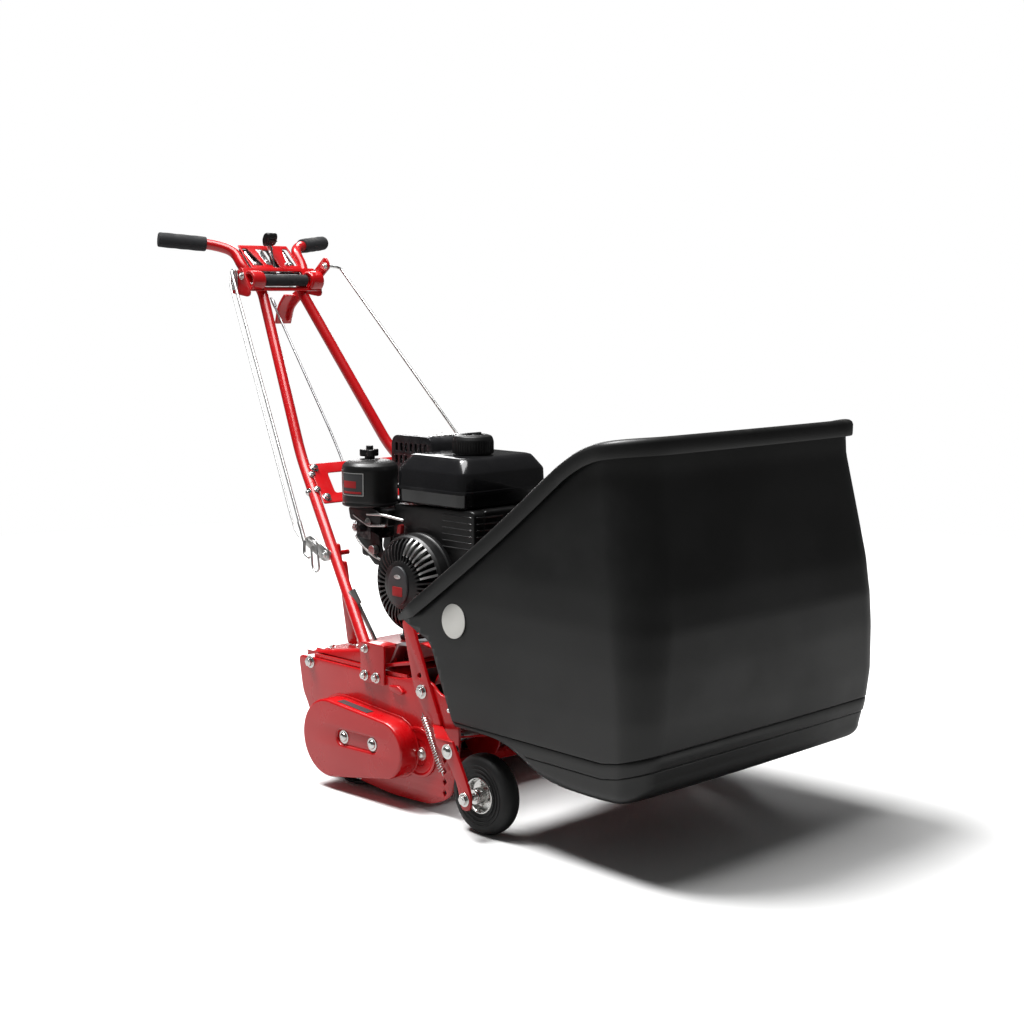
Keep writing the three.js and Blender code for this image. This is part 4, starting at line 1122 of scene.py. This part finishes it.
def rods_and_cranks():
    near = swept([(-101, 945, 958), (-108, 945, 958), (-213, 574, 438), (-216, 572, 414), (-216, 556, 408)],
                 3.1, 7, 16)
    fork = swept([(-213 + 7, 574 + 25, 438 + 34.7), (-213, 574, 438)], 4.4, 0, 16)
    wire = swept([(-104, 955, 948), (-118, 936, 930), (-217, 600, 458), (-216, 588, 446)], 1.7, 14, 10)
    piece("drive_pull_rod", joined(near, fork, wire), SILVER_CAST, "drive_rod")
    far = swept([(103, 889, 972), (134, 884, 968), (223, 300, 336)], 2.9, 9, 16)
    piece("reel_pull_rod", far, ZINC, "reel_rod")
    crank = rounded([(505, 407), (524, 403), (584, 432), (582, 444), (560, 450), (510, 429)], 7)
    body = [plate_x(crank, -207.5, -203.5, 1.0),
            turned_x([(0, -203), (8, -203), (8, -198), (5, -192), (0, -192)], 518, 417, 32),
            bolt(-207.5, 518, 417, 6, (-1, 0, 0), 3), bolt(-207.5, 548, 436, 5, (-1, 0, 0), 3)]
    body.append(swept([(-211, 560, 440), (-213, 540, 437), (-214, 532, 420), (-214, 528, 388),
                       (-213, 540, 380),
                       (-212, 552, 390), (-211, 556, 430)], 2.3, 7, 10))
    piece("bell_crank_casting", joined(*body), SILVER_CAST, "bell_crank")
    arm = rounded([(292, 328), (332, 292), (350, 296), (348, 312), (308, 346), (294, 344)], 7)
    body = [plate_x(arm, 213, 217, 1.0), bolt(217, 338, 302, 6, (1, 0, 0), 3)]
    piece("idler_arm_casting", joined(*body), SILVER_CAST, "idler_arm")
    post = [bar_x(5, -192, -150, 518, 417, 20),
            plate_x(rounded([(506, 402), (530, 402), (524, 436), (512, 436)], 6), -178, -174, 0.8)]
    extra("bell_crank_post", joined(*post), RED)
    low_rod = swept([(-212, 428, 352), (-200, 384, 275), (-196, 372, 246)], 4.2, 12, 20)
    collar = swept([(-213, 432, 359), (-209, 418, 334)], 7.5, 0, 24)
    extra("belt_tension_rod", joined(low_rod, collar), STEEL)


def throttle():
    blade = plate_x(rounded([(934, 950), (942, 946), (966, 1022), (954, 1024)], 2), -2.2, 2.2, 0.6)
    extra("throttle_blade", blade, STEEL, "throttle")
    knob = plate_x(rounded([(949, 1016), (965, 1012), (968, 1028), (960, 1041), (944, 1042), (941, 1032)],
                           6),
                   -12.5, 12.5, 4, steps=4)
    ribs = [plate_x(rounded([(941 + i * 1.2, 1022 + i * 5), (939.5 + i * 1.2, 1024.5 + i * 5),
                             (944 + i * 1.2, 1025 + i * 5)], 0.6),
                    -9, 9, 0.5) for i in range(3)]
    piece("throttle_knob", joined(knob, *ribs), COVER_BLACK, "throttle_lever")
    cable = [(0, 955, 904), (0, 726, 585), (-20, 640, 470), (-92, 575, 455), (-92, 530, 460)]
    clip = swept([(0, 949, 898), (0, 940, 885)], 4, 0, 16)
    piece("throttle_conduit", joined(swept(cable, 2.4, 90, 12), clip), GALVANISED, "throttle_cable")


# ---------------------------------------------------------------- engine
def engine_core():
    """Sump, crankcase, finned cylinder and head, with the bolts that hold them."""
    parts = [
        plate_x(rounded([(262, 244), (452, 244), (452, 320), (430, 372), (284, 372), (262, 320)], 12), -72,
                118, 5),
        turned_x([(0, -72), (84, -72), (88, -66), (88, 104), (80, 112), (34, 114), (30, 132), (0, 132)],
                 CRANK[1], CRANK[2], 96),
        plate_x(rounded([(400, 372), (540, 410), (520, 500), (380, 470)], 10), -46, 56, 3),
        block(-60, 90, 290, 430, 440, 519, 5),
    ]
    for i in range(9):
        y = 446 + i * 9
        fin = rounded([(y, 366 + i * 2), (y + 3, 367 + i * 2), (y - 22, 514), (y - 25, 513)], 1)
        parts.append(plate_x(fin, -50, 76, 0.8))
    for i in range(5):
        z = 262 + i * 14
        parts.append(plate_x(rounded([(258, z), (456, z), (456, z + 4), (258, z + 4)], 1), -66, 110, 1.2))
    piece("engine_castings", joined(*parts), ENGINE_ALLOY, "engine_block")
    base = [plate_z(rounded([(-78, 258), (124, 258), (124, 456), (-78, 456)], 12), 243.4, 252, 2)]
    base += [bolt(x, y, 252, 7, (0, 0, 1), 5) for x in (-66, 112) for y in (270, 444)]
    extra("engine_base", joined(*base), DARK_METAL)
    plug = [turned_x([(0, 64), (8, 64), (8, 96), (5, 100), (0, 100)], 486, 452, 24),
            swept([(92, 486, 452), (112, 486, 452), (122, 450, 500)], 5.5, 12, 20)]
    extra("plug_lead", joined(*plug), RUBBER)


def blower():
    """The fan cowl: a round scroll, a shoulder up to the tank with pressed ribs, and its rim."""
    low, high = -100, -73
    scroll = turned_x([(60, low), (104, low), (108, low + 4), (108, high), (60, high)], CRANK[1], CRANK[2],
                      128)
    hood = rounded([(214, 436, 10), (238, 392, 30), (262, 372, 10), (446, 386, 10), (440, 514, 8),
                    (214, 518, 12)])
    parts = [scroll, plate_x(hood, low, high, 4, [circle(CRANK[1], CRANK[2] - 3, 61)], 4)]
    front = rounded([(212, 452, 6), (286, 452), (286, 518), (212, 518, 6)], 4)
    parts.append(plate_x(front, high - 2, 98, 8, steps=4))
    for i in range(6):
        z = 446 + i * 12
        rib = [(-100.6, 300), (-100.6, 224), (-94, 214), (-80, 211.4), (-30, 211.4)]
        parts.append(swept([(x, y, z) for x, y in rib], 1.4, 8, 10))
    piece("fan_cowl", joined(*parts), COVER_BLACK, "blower_housing")


def recoil():
    """The starter cover: deep radial slots round an oval badge plate, with silver caps on the fins of its upper
    front arc as a painted highlight.
    """
    y0, z0 = CRANK[1], CRANK[2]
    base = turned_x([(0, -112), (92, -112), (95, -109), (95, -100.4), (0, -100.4)], y0, z0, 128)
    rim = turned_x([(84, -112), (93, -112), (93, -132), (89, -138), (84, -136)], y0, z0, 128)
    hub = turned_x([(0, -160), (30, -160), (46, -156), (50, -148), (50, -112), (0, -112)], y0, z0, 96, 3)
    section = ((40, -157, 1.5), (62, -154, 1.7), (78, -147, 1.9), (88, -136, 2.1), (90, -110, 2.2),
               (40, -110, 1.2))
    # Outline of the silver fin caps that paint a highlight on the upper front arc of the cover.
    highlight_section = ((58, -156, 1.9), (63, -156, 1.9), (79, -149, 2.1), (89.5, -138, 2.3), (91, -120, 2.4),
                      (84, -120, 1.9), (60, -148, 1.9))

    def fin(a, outline):
        bm = bmesh.new()

        def corner(r, x, w):
            y = y0 + r * math.cos(a) - w * math.sin(a)
            return bm.verts.new(at(x, y, z0 + r * math.sin(a) + w * math.cos(a)))

        sides = [[corner(r, x, w * way) for r, x, w in outline] for way in (1, -1)]
        bm.faces.new(sides[0])
        bm.faces.new(sides[1][::-1])
        for k in range(len(outline)):
            j = (k + 1) % len(outline)
            bm.faces.new((sides[0][k], sides[0][j], sides[1][j], sides[1][k]))
        return mesh_of(bm)

    count = 40
    turns = [2 * math.pi * i / count for i in range(count)]
    piece("starter_cover", joined(base, rim, hub, *[fin(a, section) for a in turns]), COVER_BLACK,
          "recoil_cover")
    # Silver caps only on the fins of the upper front arc: a painted highlight where light catches the black ribs.
    bright = [fin(a, highlight_section) for a in turns if math.radians(92) < a < math.radians(164)]
    extra("fin_painted_highlight", joined(*bright), SILVER_CAST)
    oval = circle(y0, z0, 27, 64, 37)
    extra("starter_badge", plate_x(oval, -164, -159, 1.5), GREY_LABEL)
    oval = circle(y0, z0 + 17, 9, 32, 4)
    extra("badge_silver", plate_x(oval, -164.7, -163.8, 0.3), SILVER_CAST)
    bar = rounded([(y0 - 14, z0 - 20), (y0 + 14, z0 - 20), (y0 + 14, z0 - 2), (y0 - 14, z0 - 2)], 3)
    extra("badge_red", plate_x(bar, -164.7, -163.8, 0.3), RED_LABEL)
    switch = joined(plate_x(rounded([(y0 + 46, z0 + 88), (y0 + 58, z0 + 88), (y0 + 54, z0 + 106),
                                     (y0 + 44, z0 + 106)], 3),
                            -116, -106, 2))
    extra("stop_switch", switch, RED_LABEL)
    bar = joined(swept([(-96, 196, 456), (-58, 196, 456)], 6.5, 0, 24),
                 swept([(-77, 198, 454), (-77, 206, 444)], 3, 0, 16))
    piece("starter_handle", bar, COVER_BLACK, "starter_grip")


def starter_rope():
    """The pull cord. The rest of it is wound inside, and the short end seen here runs from the cover to the grip.
    """
    inside, knot = (-77, 222, 430), (-77, 199, 453)
    count = 24
    mesh = swept([lerp(inside, knot, i / count) for i in range(count + 1)], 1.8, 0, 12)
    piece("starter_rope", mesh, ROPE, between=("root", "starter", at(*inside), at(*knot)))


def tank():
    """Two moulded halves meeting at a flange, the upper one with broad chamfers, and a filler neck."""
    low, high = box_of("fuel_tank")
    x0, x1, y0, y1 = low.x, high.x, low.y, high.y

    def rect(inset, r):
        return rounded([(x0 + inset, y0 + inset), (x1 - inset, y0 + inset), (x1 - inset, y1 - inset),
                        (x0 + inset, y1 - inset)], r, 8)

    levels = [(520, 7, 24), (523, 4, 26), (545, 3, 26), (546, 0, 28), (551, 0, 28), (552, 3, 26),
              (582, 4, 26),
              (586, 5.5, 26), (605, 19, 20), (609.5, 23, 18), (611.6, 30, 14)]
    bm = bmesh.new()
    rings = [[bm.verts.new(at(p.x, p.y, z)) for p in rect(inset, r)] for z, inset, r in levels]
    skin(bm, rings)
    shell = mesh_of(bm)
    neck = turned_z([(0, 608), (30, 608), (30, 616), (0, 616)], -10, 312, 64)
    piece("petrol_tank", joined(shell, neck), GLOSS_BLACK, "fuel_tank")
    x, y = -10, 312
    cap = [turned_z([(0, 613), (37, 613), (38.5, 615), (38.5, 640), (35, 647), (28, 649.5), (22, 650),
                     (20, 647),
                     (9, 647), (7, 650.5), (0, 651)], x, y, 128, 1.2)]
    for i in range(48):
        a = 2 * math.pi * i / 48
        cap.append(swept([(x + 38.3 * math.cos(a), y + 38.3 * math.sin(a), 615),
                          (x + 38.3 * math.cos(a), y + 38.3 * math.sin(a), 637),
                          (x + 35.4 * math.cos(a), y + 35.4 * math.sin(a), 645)], 1.1, 3, 8))
    cap.append(plate_z(rounded([(x - 20, y - 3.5), (x + 20, y - 3.5), (x + 20, y + 3.5), (x - 20, y + 3.5)],
                               3),
                       646, 653, 1.5))
    piece("filler_cap", joined(*cap), COVER_BLACK, "fuel_cap")


def air_intake():
    """The round air cleaner with its three-lobed nut and plain label, and the carburettor under it."""
    x, y = -100, 510
    canister = turned_z([(0, 505), (52, 505), (54.5, 507), (54.5, 511), (53, 513), (54, 516), (55, 577),
                         (53, 584),
                         (47, 590), (38, 593), (20, 595), (18, 592), (0, 592)], x, y, 128, 1.5)
    lobes = [turned_z([(0, 594), (10, 594), (10, 600), (0, 600)], x, y, 40)]
    outline = []
    for i in range(90):
        a = 2 * math.pi * i / 90
        r = 15 + 5.5 * math.cos(3 * a)
        outline.append((x + r * math.cos(a), y + r * math.sin(a)))
    lobes.append(plate_z(outline, 600, 614, 2.5, steps=4))
    lobes.append(turned_z([(0, 612), (7, 612), (7, 621), (0, 622)], x, y, 32, 1.5))
    piece("air_canister", joined(canister, *lobes), COVER_BLACK, "air_cleaner")

    def wrapped(a0, a1, z0, z1, r, thick=0.7):
        bm = bmesh.new()
        steps = 20
        cols = []
        for i in range(steps + 1):
            a = a0 + (a1 - a0) * i / steps
            cols.append([bm.verts.new(at(x + q * math.cos(a), y + q * math.sin(a), z))
                         for q, z in ((r, z0), (r + thick, z0), (r + thick, z1), (r, z1))])
        skin(bm, cols)
        return mesh_of(bm)

    a0, a1 = math.radians(162), math.radians(217)
    edge = math.radians(1.6)
    label = wrapped(a0, a1, 528, 572, 55.1, 0.5)
    extra("label_ground", label, GREY_LABEL)
    frame_bars = [wrapped(a0, a1, 528, 529.4, 55.4), wrapped(a0, a1, 570.6, 572, 55.4),
                  wrapped(a0, a0 + edge, 528, 572, 55.4), wrapped(a1 - edge, a1, 528, 572, 55.4)]
    extra("label_edge", joined(*frame_bars), SILVER_CAST)
    bars = [wrapped(a0 + 3 * edge, a1 - 3 * edge, 532, 536, 55.4),
            wrapped(a0 + 3 * edge, a1 - 10 * edge, 543, 556, 55.4)]
    extra("label_red", joined(*bars), RED_LABEL)

    carb = [turned_z([(0, 406), (14, 406), (19, 409), (20, 414), (20, 444), (0, 444)], -100, 505, 64),
            turned_z([(0, 402), (6, 402), (6, 408), (0, 408)], -100, 505, 24),
            block(-122, -62, 484, 526, 440, 484, 4),
            turned_z([(0, 480), (18, 480), (18, 500), (24, 504.6), (0, 504.6)], -100, 510, 48),
            turned_x([(0, -140), (6, -140), (7, -122), (0, -122)], 500, 462, 24)]
    piece("carburettor_body", joined(*carb), ENGINE_ALLOY, "carburetor")
    links = [
        swept([(-132, 482, 492), (-128, 440, 494), (-112, 398, 486)], 2.6, 10, 12),
        swept([(-134, 520, 488), (-134, 476, 470), (-130, 430, 474)], 2.0, 10, 12),
        swept([(-126, 524, 446), (-132, 500, 430), (-128, 470, 412), (-116, 448, 400)], 2.2, 14, 12),
        bolt(-126, 486, 476, 6, (-1, 0, 0), 3), bolt(-130, 520, 462, 6, (-1, 0, 0), 3),
        bar_x(9, -136, -124, 466, 424, 32),
    ]
    extra("governor_links", joined(*links), SILVER_CAST)
    plates = [
        plate_x(rounded([(452, 470), (540, 476), (546, 500), (470, 504), (448, 492)], 6), -126, -122, 0.8),
        plate_x(rounded([(440, 398), (472, 392), (530, 440), (524, 470), (462, 452)], 8), -121, -117, 0.8),
        block(-116, -70, 438, 482, 470, 503, 4),
    ]
    extra("control_plates", joined(*plates), COVER_BLACK)


def exhaust():
    x0, x1 = 2, 108
    low, high = box_of("muffler_guard")
    y0, y1, z1 = low.y, high.y, high.z
    shape = rounded([(y0, 540), (y1, 540), (y1, z1, 22), (y0, z1, 22)], 0)
    inner = rounded([(y0 + 3, 536), (y1 - 3, 536), (y1 - 3, z1 - 3, 20), (y0 + 3, z1 - 3, 20)], 0)
    slots = []
    for row in range(3):
        for i in range(7):
            y = y0 + 16 + i * 14.5
            z = 552 + row * 25
            slots.append(rounded([(y, z), (y + 7, z), (y + 7, z + 17), (y, z + 17)], 3))
    faces = [plate_x(shape, x0, x0 + 3, 0.6, slots), plate_x(shape, x1 - 3, x1, 0.6, slots)]
    faces.append(plate_x(shape, x0 + 2.5, x1 - 2.5, 0.3, [inner]))
    straps = []
    for i in range(6):
        x = x0 + 14 + i * 15.5
        straps.append(block(x, x + 7, y0 + 16, y1 - 16, z1 - 1, z1 + 1.2, 0.8))
    piece("exhaust_guard", joined(*faces), DARK_METAL, "muffler_guard")
    for i in range(9):
        y = y0 + 12 + i * 11.5
        straps.append(swept([(x0 + 8, y, 548), (x0 + 6, y + 3, 580), (x0 + 8, y, 612), (x0 + 14, y, 622)],
                            2, 4, 8))
    extra("exhaust_guard_bars", joined(*straps), STEEL)
    can = [plate_x(rounded([(452, 548), (552, 548), (552, 622), (452, 622)], 22), 12, 98, 6, steps=4),
           plate_x(rounded([(449, 545), (555, 545), (555, 625), (449, 625)], 24), 52, 57, 1.2)]
    piece("silencer", joined(*can), STEEL, "muffler")


def belt_cover():
    """The cover over the belt above the deck."""
    def around(grow):
        return rounded([(300 - grow, 244), (456 + grow, 244), (430 + grow, 400 + grow, 50),
                        (357, 440 + grow, 60),
                        (288 - grow, 400 + grow, 50)])
    parts = [plate_x(around(0), 191, 197, 3.5, steps=4), plate_x(around(0), 162, 195, 0.5, [around(-3)])]
    back = plate_x(around(0), 162, 165, 0.8, [circle(CRANK[1], CRANK[2], 20)])
    ribs = [plate_x(rounded([(330, 282 + i * 26), (402, 282 + i * 26), (402, 290 + i * 26),
                             (330, 290 + i * 26)], 4),
                    196, 199, 1.2) for i in range(4)]
    piece("belt_cover_shell", joined(*parts, back, *ribs), COVER_BLACK, "belt_guard")
    bolts = [bolt(197, y, z, 5, (1, 0, 0), 3) for y, z in ((312, 260), (446, 260), (357, 424))]
    extra("belt_cover_bolts", joined(*bolts), ZINC)


# ---------------------------------------------------------------- catcher
CATCHER = {"front": 353, "half": 300, "corner": 74, "bow": 10, "taper": 20, "swell": (21, 39), "wall": 4.5}
TOP_LINE = rounded([(187, 356, 2), (-255, 663, 90), (-345, 692, 90), (-460, 698)], 0, 10)
LOW_LINE = rounded([(187, 356, 2), (174, 350, 10), (105, 322, 16), (70, 225, 10), (54, 182, 6),
                    (-62, 182, 40),
                    (-160, 122, 50), (-290, 119, 50), (-358, 127, 20), (-460, 148)], 0, 8)


def height_on(line, y):
    """Z of a line in the side view, where it passes a given Y. The lines run from the back forwards."""
    for a, b in zip(line, line[1:]):
        if a.x >= y >= b.x and a.x > b.x:
            return a.y + (b.y - a.y) * (a.x - y) / (a.x - b.x)
    return line[-1].y if y < line[-1].x else line[0].y


REAR_TIP_Y = 187.0
TAPER_END = 300
MOULD_LINES = (164, 190)
BADGE_Y, BADGE_Z = 41, 368
SWELL = [(100, 0.30), (137, 0.42), (165, 0.58), (200, 0.79), (260, 1.00), (340, 1.07), (400, 1.04),
         (460, 0.87),
         (552, 0.43), (640, 0.0), (720, -0.1)]


def fullness(z):
    """How far the tub swells at a height: little at its base, all of it at the middle, nothing at the rim."""
    for (z0, f0), (z1, f1) in zip(SWELL, SWELL[1:]):
        if z <= z1:
            t = max(0.0, (z - z0) / (z1 - z0))
            return f0 + (f1 - f0) * t
    return SWELL[-1][1]


def plan_columns():
    """Reference points of the tub's plan, from the middle of the front round to the right rear tip."""
    columns = [("front", i / 14) for i in range(14)]
    columns += [("corner", i / 16) for i in range(16)]
    return columns + [("side", i / 71) for i in range(72)]


def plan_point(column, z, inset=0.0):
    """X (to one side) and Y of a plan column at a height, with the outward direction."""
    kind, t = column
    full = fullness(z)
    w = CATCHER["half"] + CATCHER["swell"][0] * full - inset
    f = CATCHER["front"] + CATCHER["swell"][1] * full - inset
    r = 44 + 28 * max(0.0, min(1.0, (z - 150) / 260)) - inset * 0.5
    bow = CATCHER["bow"]
    if kind == "front":
        x = (w - r) * t
        return x, -(f + bow * 0.5 * (1 - t * t))
    if kind == "corner":
        a = t * math.pi / 2
        return w - r + r * math.sin(a), -(f - r) - r * math.cos(a)
    y0, y1 = -(f - r), REAR_TIP_Y
    y = y0 + (y1 - y0) * t
    return w - CATCHER["taper"] * (y - y0) / (TAPER_END - y0), y


def groove(z):
    """Inset of the wall at the two mould lines low on the tub, and of the band below them."""
    cut = sum(1.3 * math.exp(-(((z - line) / 1.2) ** 2)) for line in MOULD_LINES)
    return cut + 1.2 / (1 + math.exp((z - MOULD_LINES[0]) / 0.8))


def rise(y, z):
    """The mould lines climb a little towards the front; this fades out up the wall."""
    return 0.2 * max(0.0, -y - 290) * max(0.0, min(1.0, (330 - z) / 90))


def catcher_rows():
    rows = []
    z = 125.0
    while z < 712:
        near = min(abs(z - line) for line in MOULD_LINES)
        z += 0.9 if near < 3.5 else (3 if near < 12 else 11)
        rows.append(z)
    return rows


def catcher_shell():
    """The wall and floor of the tub as one sheet, before it is given its thickness."""
    bm = bmesh.new()
    columns = plan_columns()
    levels = catcher_rows()
    fillet = 7
    grid = {}
    for s in (1, -1):
        for c, column in enumerate(columns):
            y = plan_point(column, 400)[1]
            low, high = height_on(LOW_LINE, y), height_on(TOP_LINE, y)
            share = max(0.0, min(1.0, (-y - 40) / 150))
            radius = (4 + 24 * share) if y < 50 else 0.0
            if column[0] != "side":
                radius = 28.0
            strip = []
            for k in range(fillet + 1):
                a = k / fillet * math.pi / 2
                z = low + radius * (1 - math.cos(a))
                inset = radius * (1 - math.sin(a)) + groove(z - rise(y, z))
                x, yy = plan_point(column, max(z, low + radius), inset)
                strip.append((x, yy, min(z, high)))
            for z in levels:
                z = max(low + radius + 0.01, min(z + rise(y, z), high))
                x, yy = plan_point(column, z, groove(z - rise(y, z)))
                strip.append((x, yy, z))
            grid[s, c] = [bm.verts.new(at(s * x, yy, z)) for x, yy, z in strip]
    rows = len(grid[1, 0])
    for s in (1, -1):
        for c in range(len(columns) - 1):
            for k in range(rows - 1):
                quad = (grid[s, c][k], grid[s, c + 1][k], grid[s, c + 1][k + 1], grid[s, c][k + 1])
                bm.faces.new(quad if s > 0 else quad[::-1])
    across = 24
    floor = []
    for c, column in enumerate(columns):
        left, right = grid[1, c][0], grid[-1, c][0]
        y = (left.co.y - AXLE_Y) / MM
        if y > 50:
            break
        floor.append([left] + [bm.verts.new(left.co.lerp(right.co,
                                                         k / across)) for k in range(1, across)] + [right])
    for row, after in zip(floor, floor[1:]):
        for k in range(across):
            bm.faces.new((row[k], row[k + 1], after[k + 1], after[k]))
    bmesh.ops.remove_doubles(bm, verts=bm.verts, dist=3e-5)
    bmesh.ops.dissolve_degenerate(bm, edges=bm.edges, dist=2e-5)
    return mesh_of(bm)


def catcher_rim():
    """The rolled lip that follows the whole top edge, from one rear tip round the front to the other."""
    section = [(-4.5, -3), (-4.5, 1.5), (-2.5, 4.2), (1.5, 5.2), (7, 4.6), (11.5, 1.8), (13.5, -3.5),
               (13.2, -19),
               (12.2, -22.5), (10, -22.5), (9.4, -19), (9, -5.5), (6.5, -2), (0.6, -2.4)]
    line = []
    columns = plan_columns()
    for column in columns:
        y = plan_point(column, 400)[1]
        high = height_on(TOP_LINE, y)
        x, yy = plan_point(column, high)
        line.append(Vector((x, yy, high)))
    path = [Vector((-p.x, p.y, p.z)) for p in reversed(line)] + line[1:]
    bm = bmesh.new()
    rings = []
    for i, here in enumerate(path):
        along = (path[min(i + 1, len(path) - 1)] - path[max(i - 1, 0)]).normalized()
        out = along.cross(Vector((0, 0, 1))).normalized()
        down = out.cross(along).normalized()
        if down.z > 0:
            down = -down
        if out.dot(Vector((here.x, here.y + 60, 0))) < 0:
            out = -out
        tip = min(i, len(path) - 1 - i)
        size = min(1.0, 0.35 + tip * 0.13)
        rings.append([bm.verts.new(at(*(here + out * (u * (size if u > 0 else 1)) - down * (v * size))))
                      for u, v in section])
    skin(bm, rings)
    return mesh_of(bm)


def catcher():
    shell = piece("catcher_tub", catcher_shell(), CATCHER_BLACK, "catcher", sharp=50)
    thick = shell.modifiers.new("wall", "SOLIDIFY")
    thick.thickness = CATCHER["wall"] * MM
    thick.offset = -1
    thick.use_even_offset = False
    piece("catcher_rim", catcher_rim(), CATCHER_BLACK, body="catcher", sharp=60)
    straight = CATCHER["front"] - CATCHER["corner"]
    length = TAPER_END + straight
    for side, s in SIDES:
        full = CATCHER["half"] + CATCHER["swell"][0] * fullness(366)
        x = full - CATCHER["taper"] * (BADGE_Y + straight) / length
        lean = math.atan2(CATCHER["taper"], length)
        disc = turned([(0, -0.5), (29.5, -0.5), (29.5, 0.8), (0, 1.2)], 72, 0.4)
        out = Vector((s * math.cos(lean), math.sin(lean), 0.06))
        badge = facing(disc, s * (x + 0.6), BADGE_Y, BADGE_Z, out)
        extra(f"plain_medallion_{side}", badge, PALE_LABEL, "catcher")


# ---------------------------------------------------------------- all of it
make_camera()
make_studio()
side_plates()
deck()
shield()
small_frame()
reel()
drives()
drum_roller()
chain_cover()
wheel_arms()
wheels()
handle()
console()
drive_bail()
clutch_lever()
rods_and_cranks()
throttle()
engine_core()
blower()
recoil()
starter_rope()
tank()
air_intake()
exhaust()
belt_cover()
catcher()
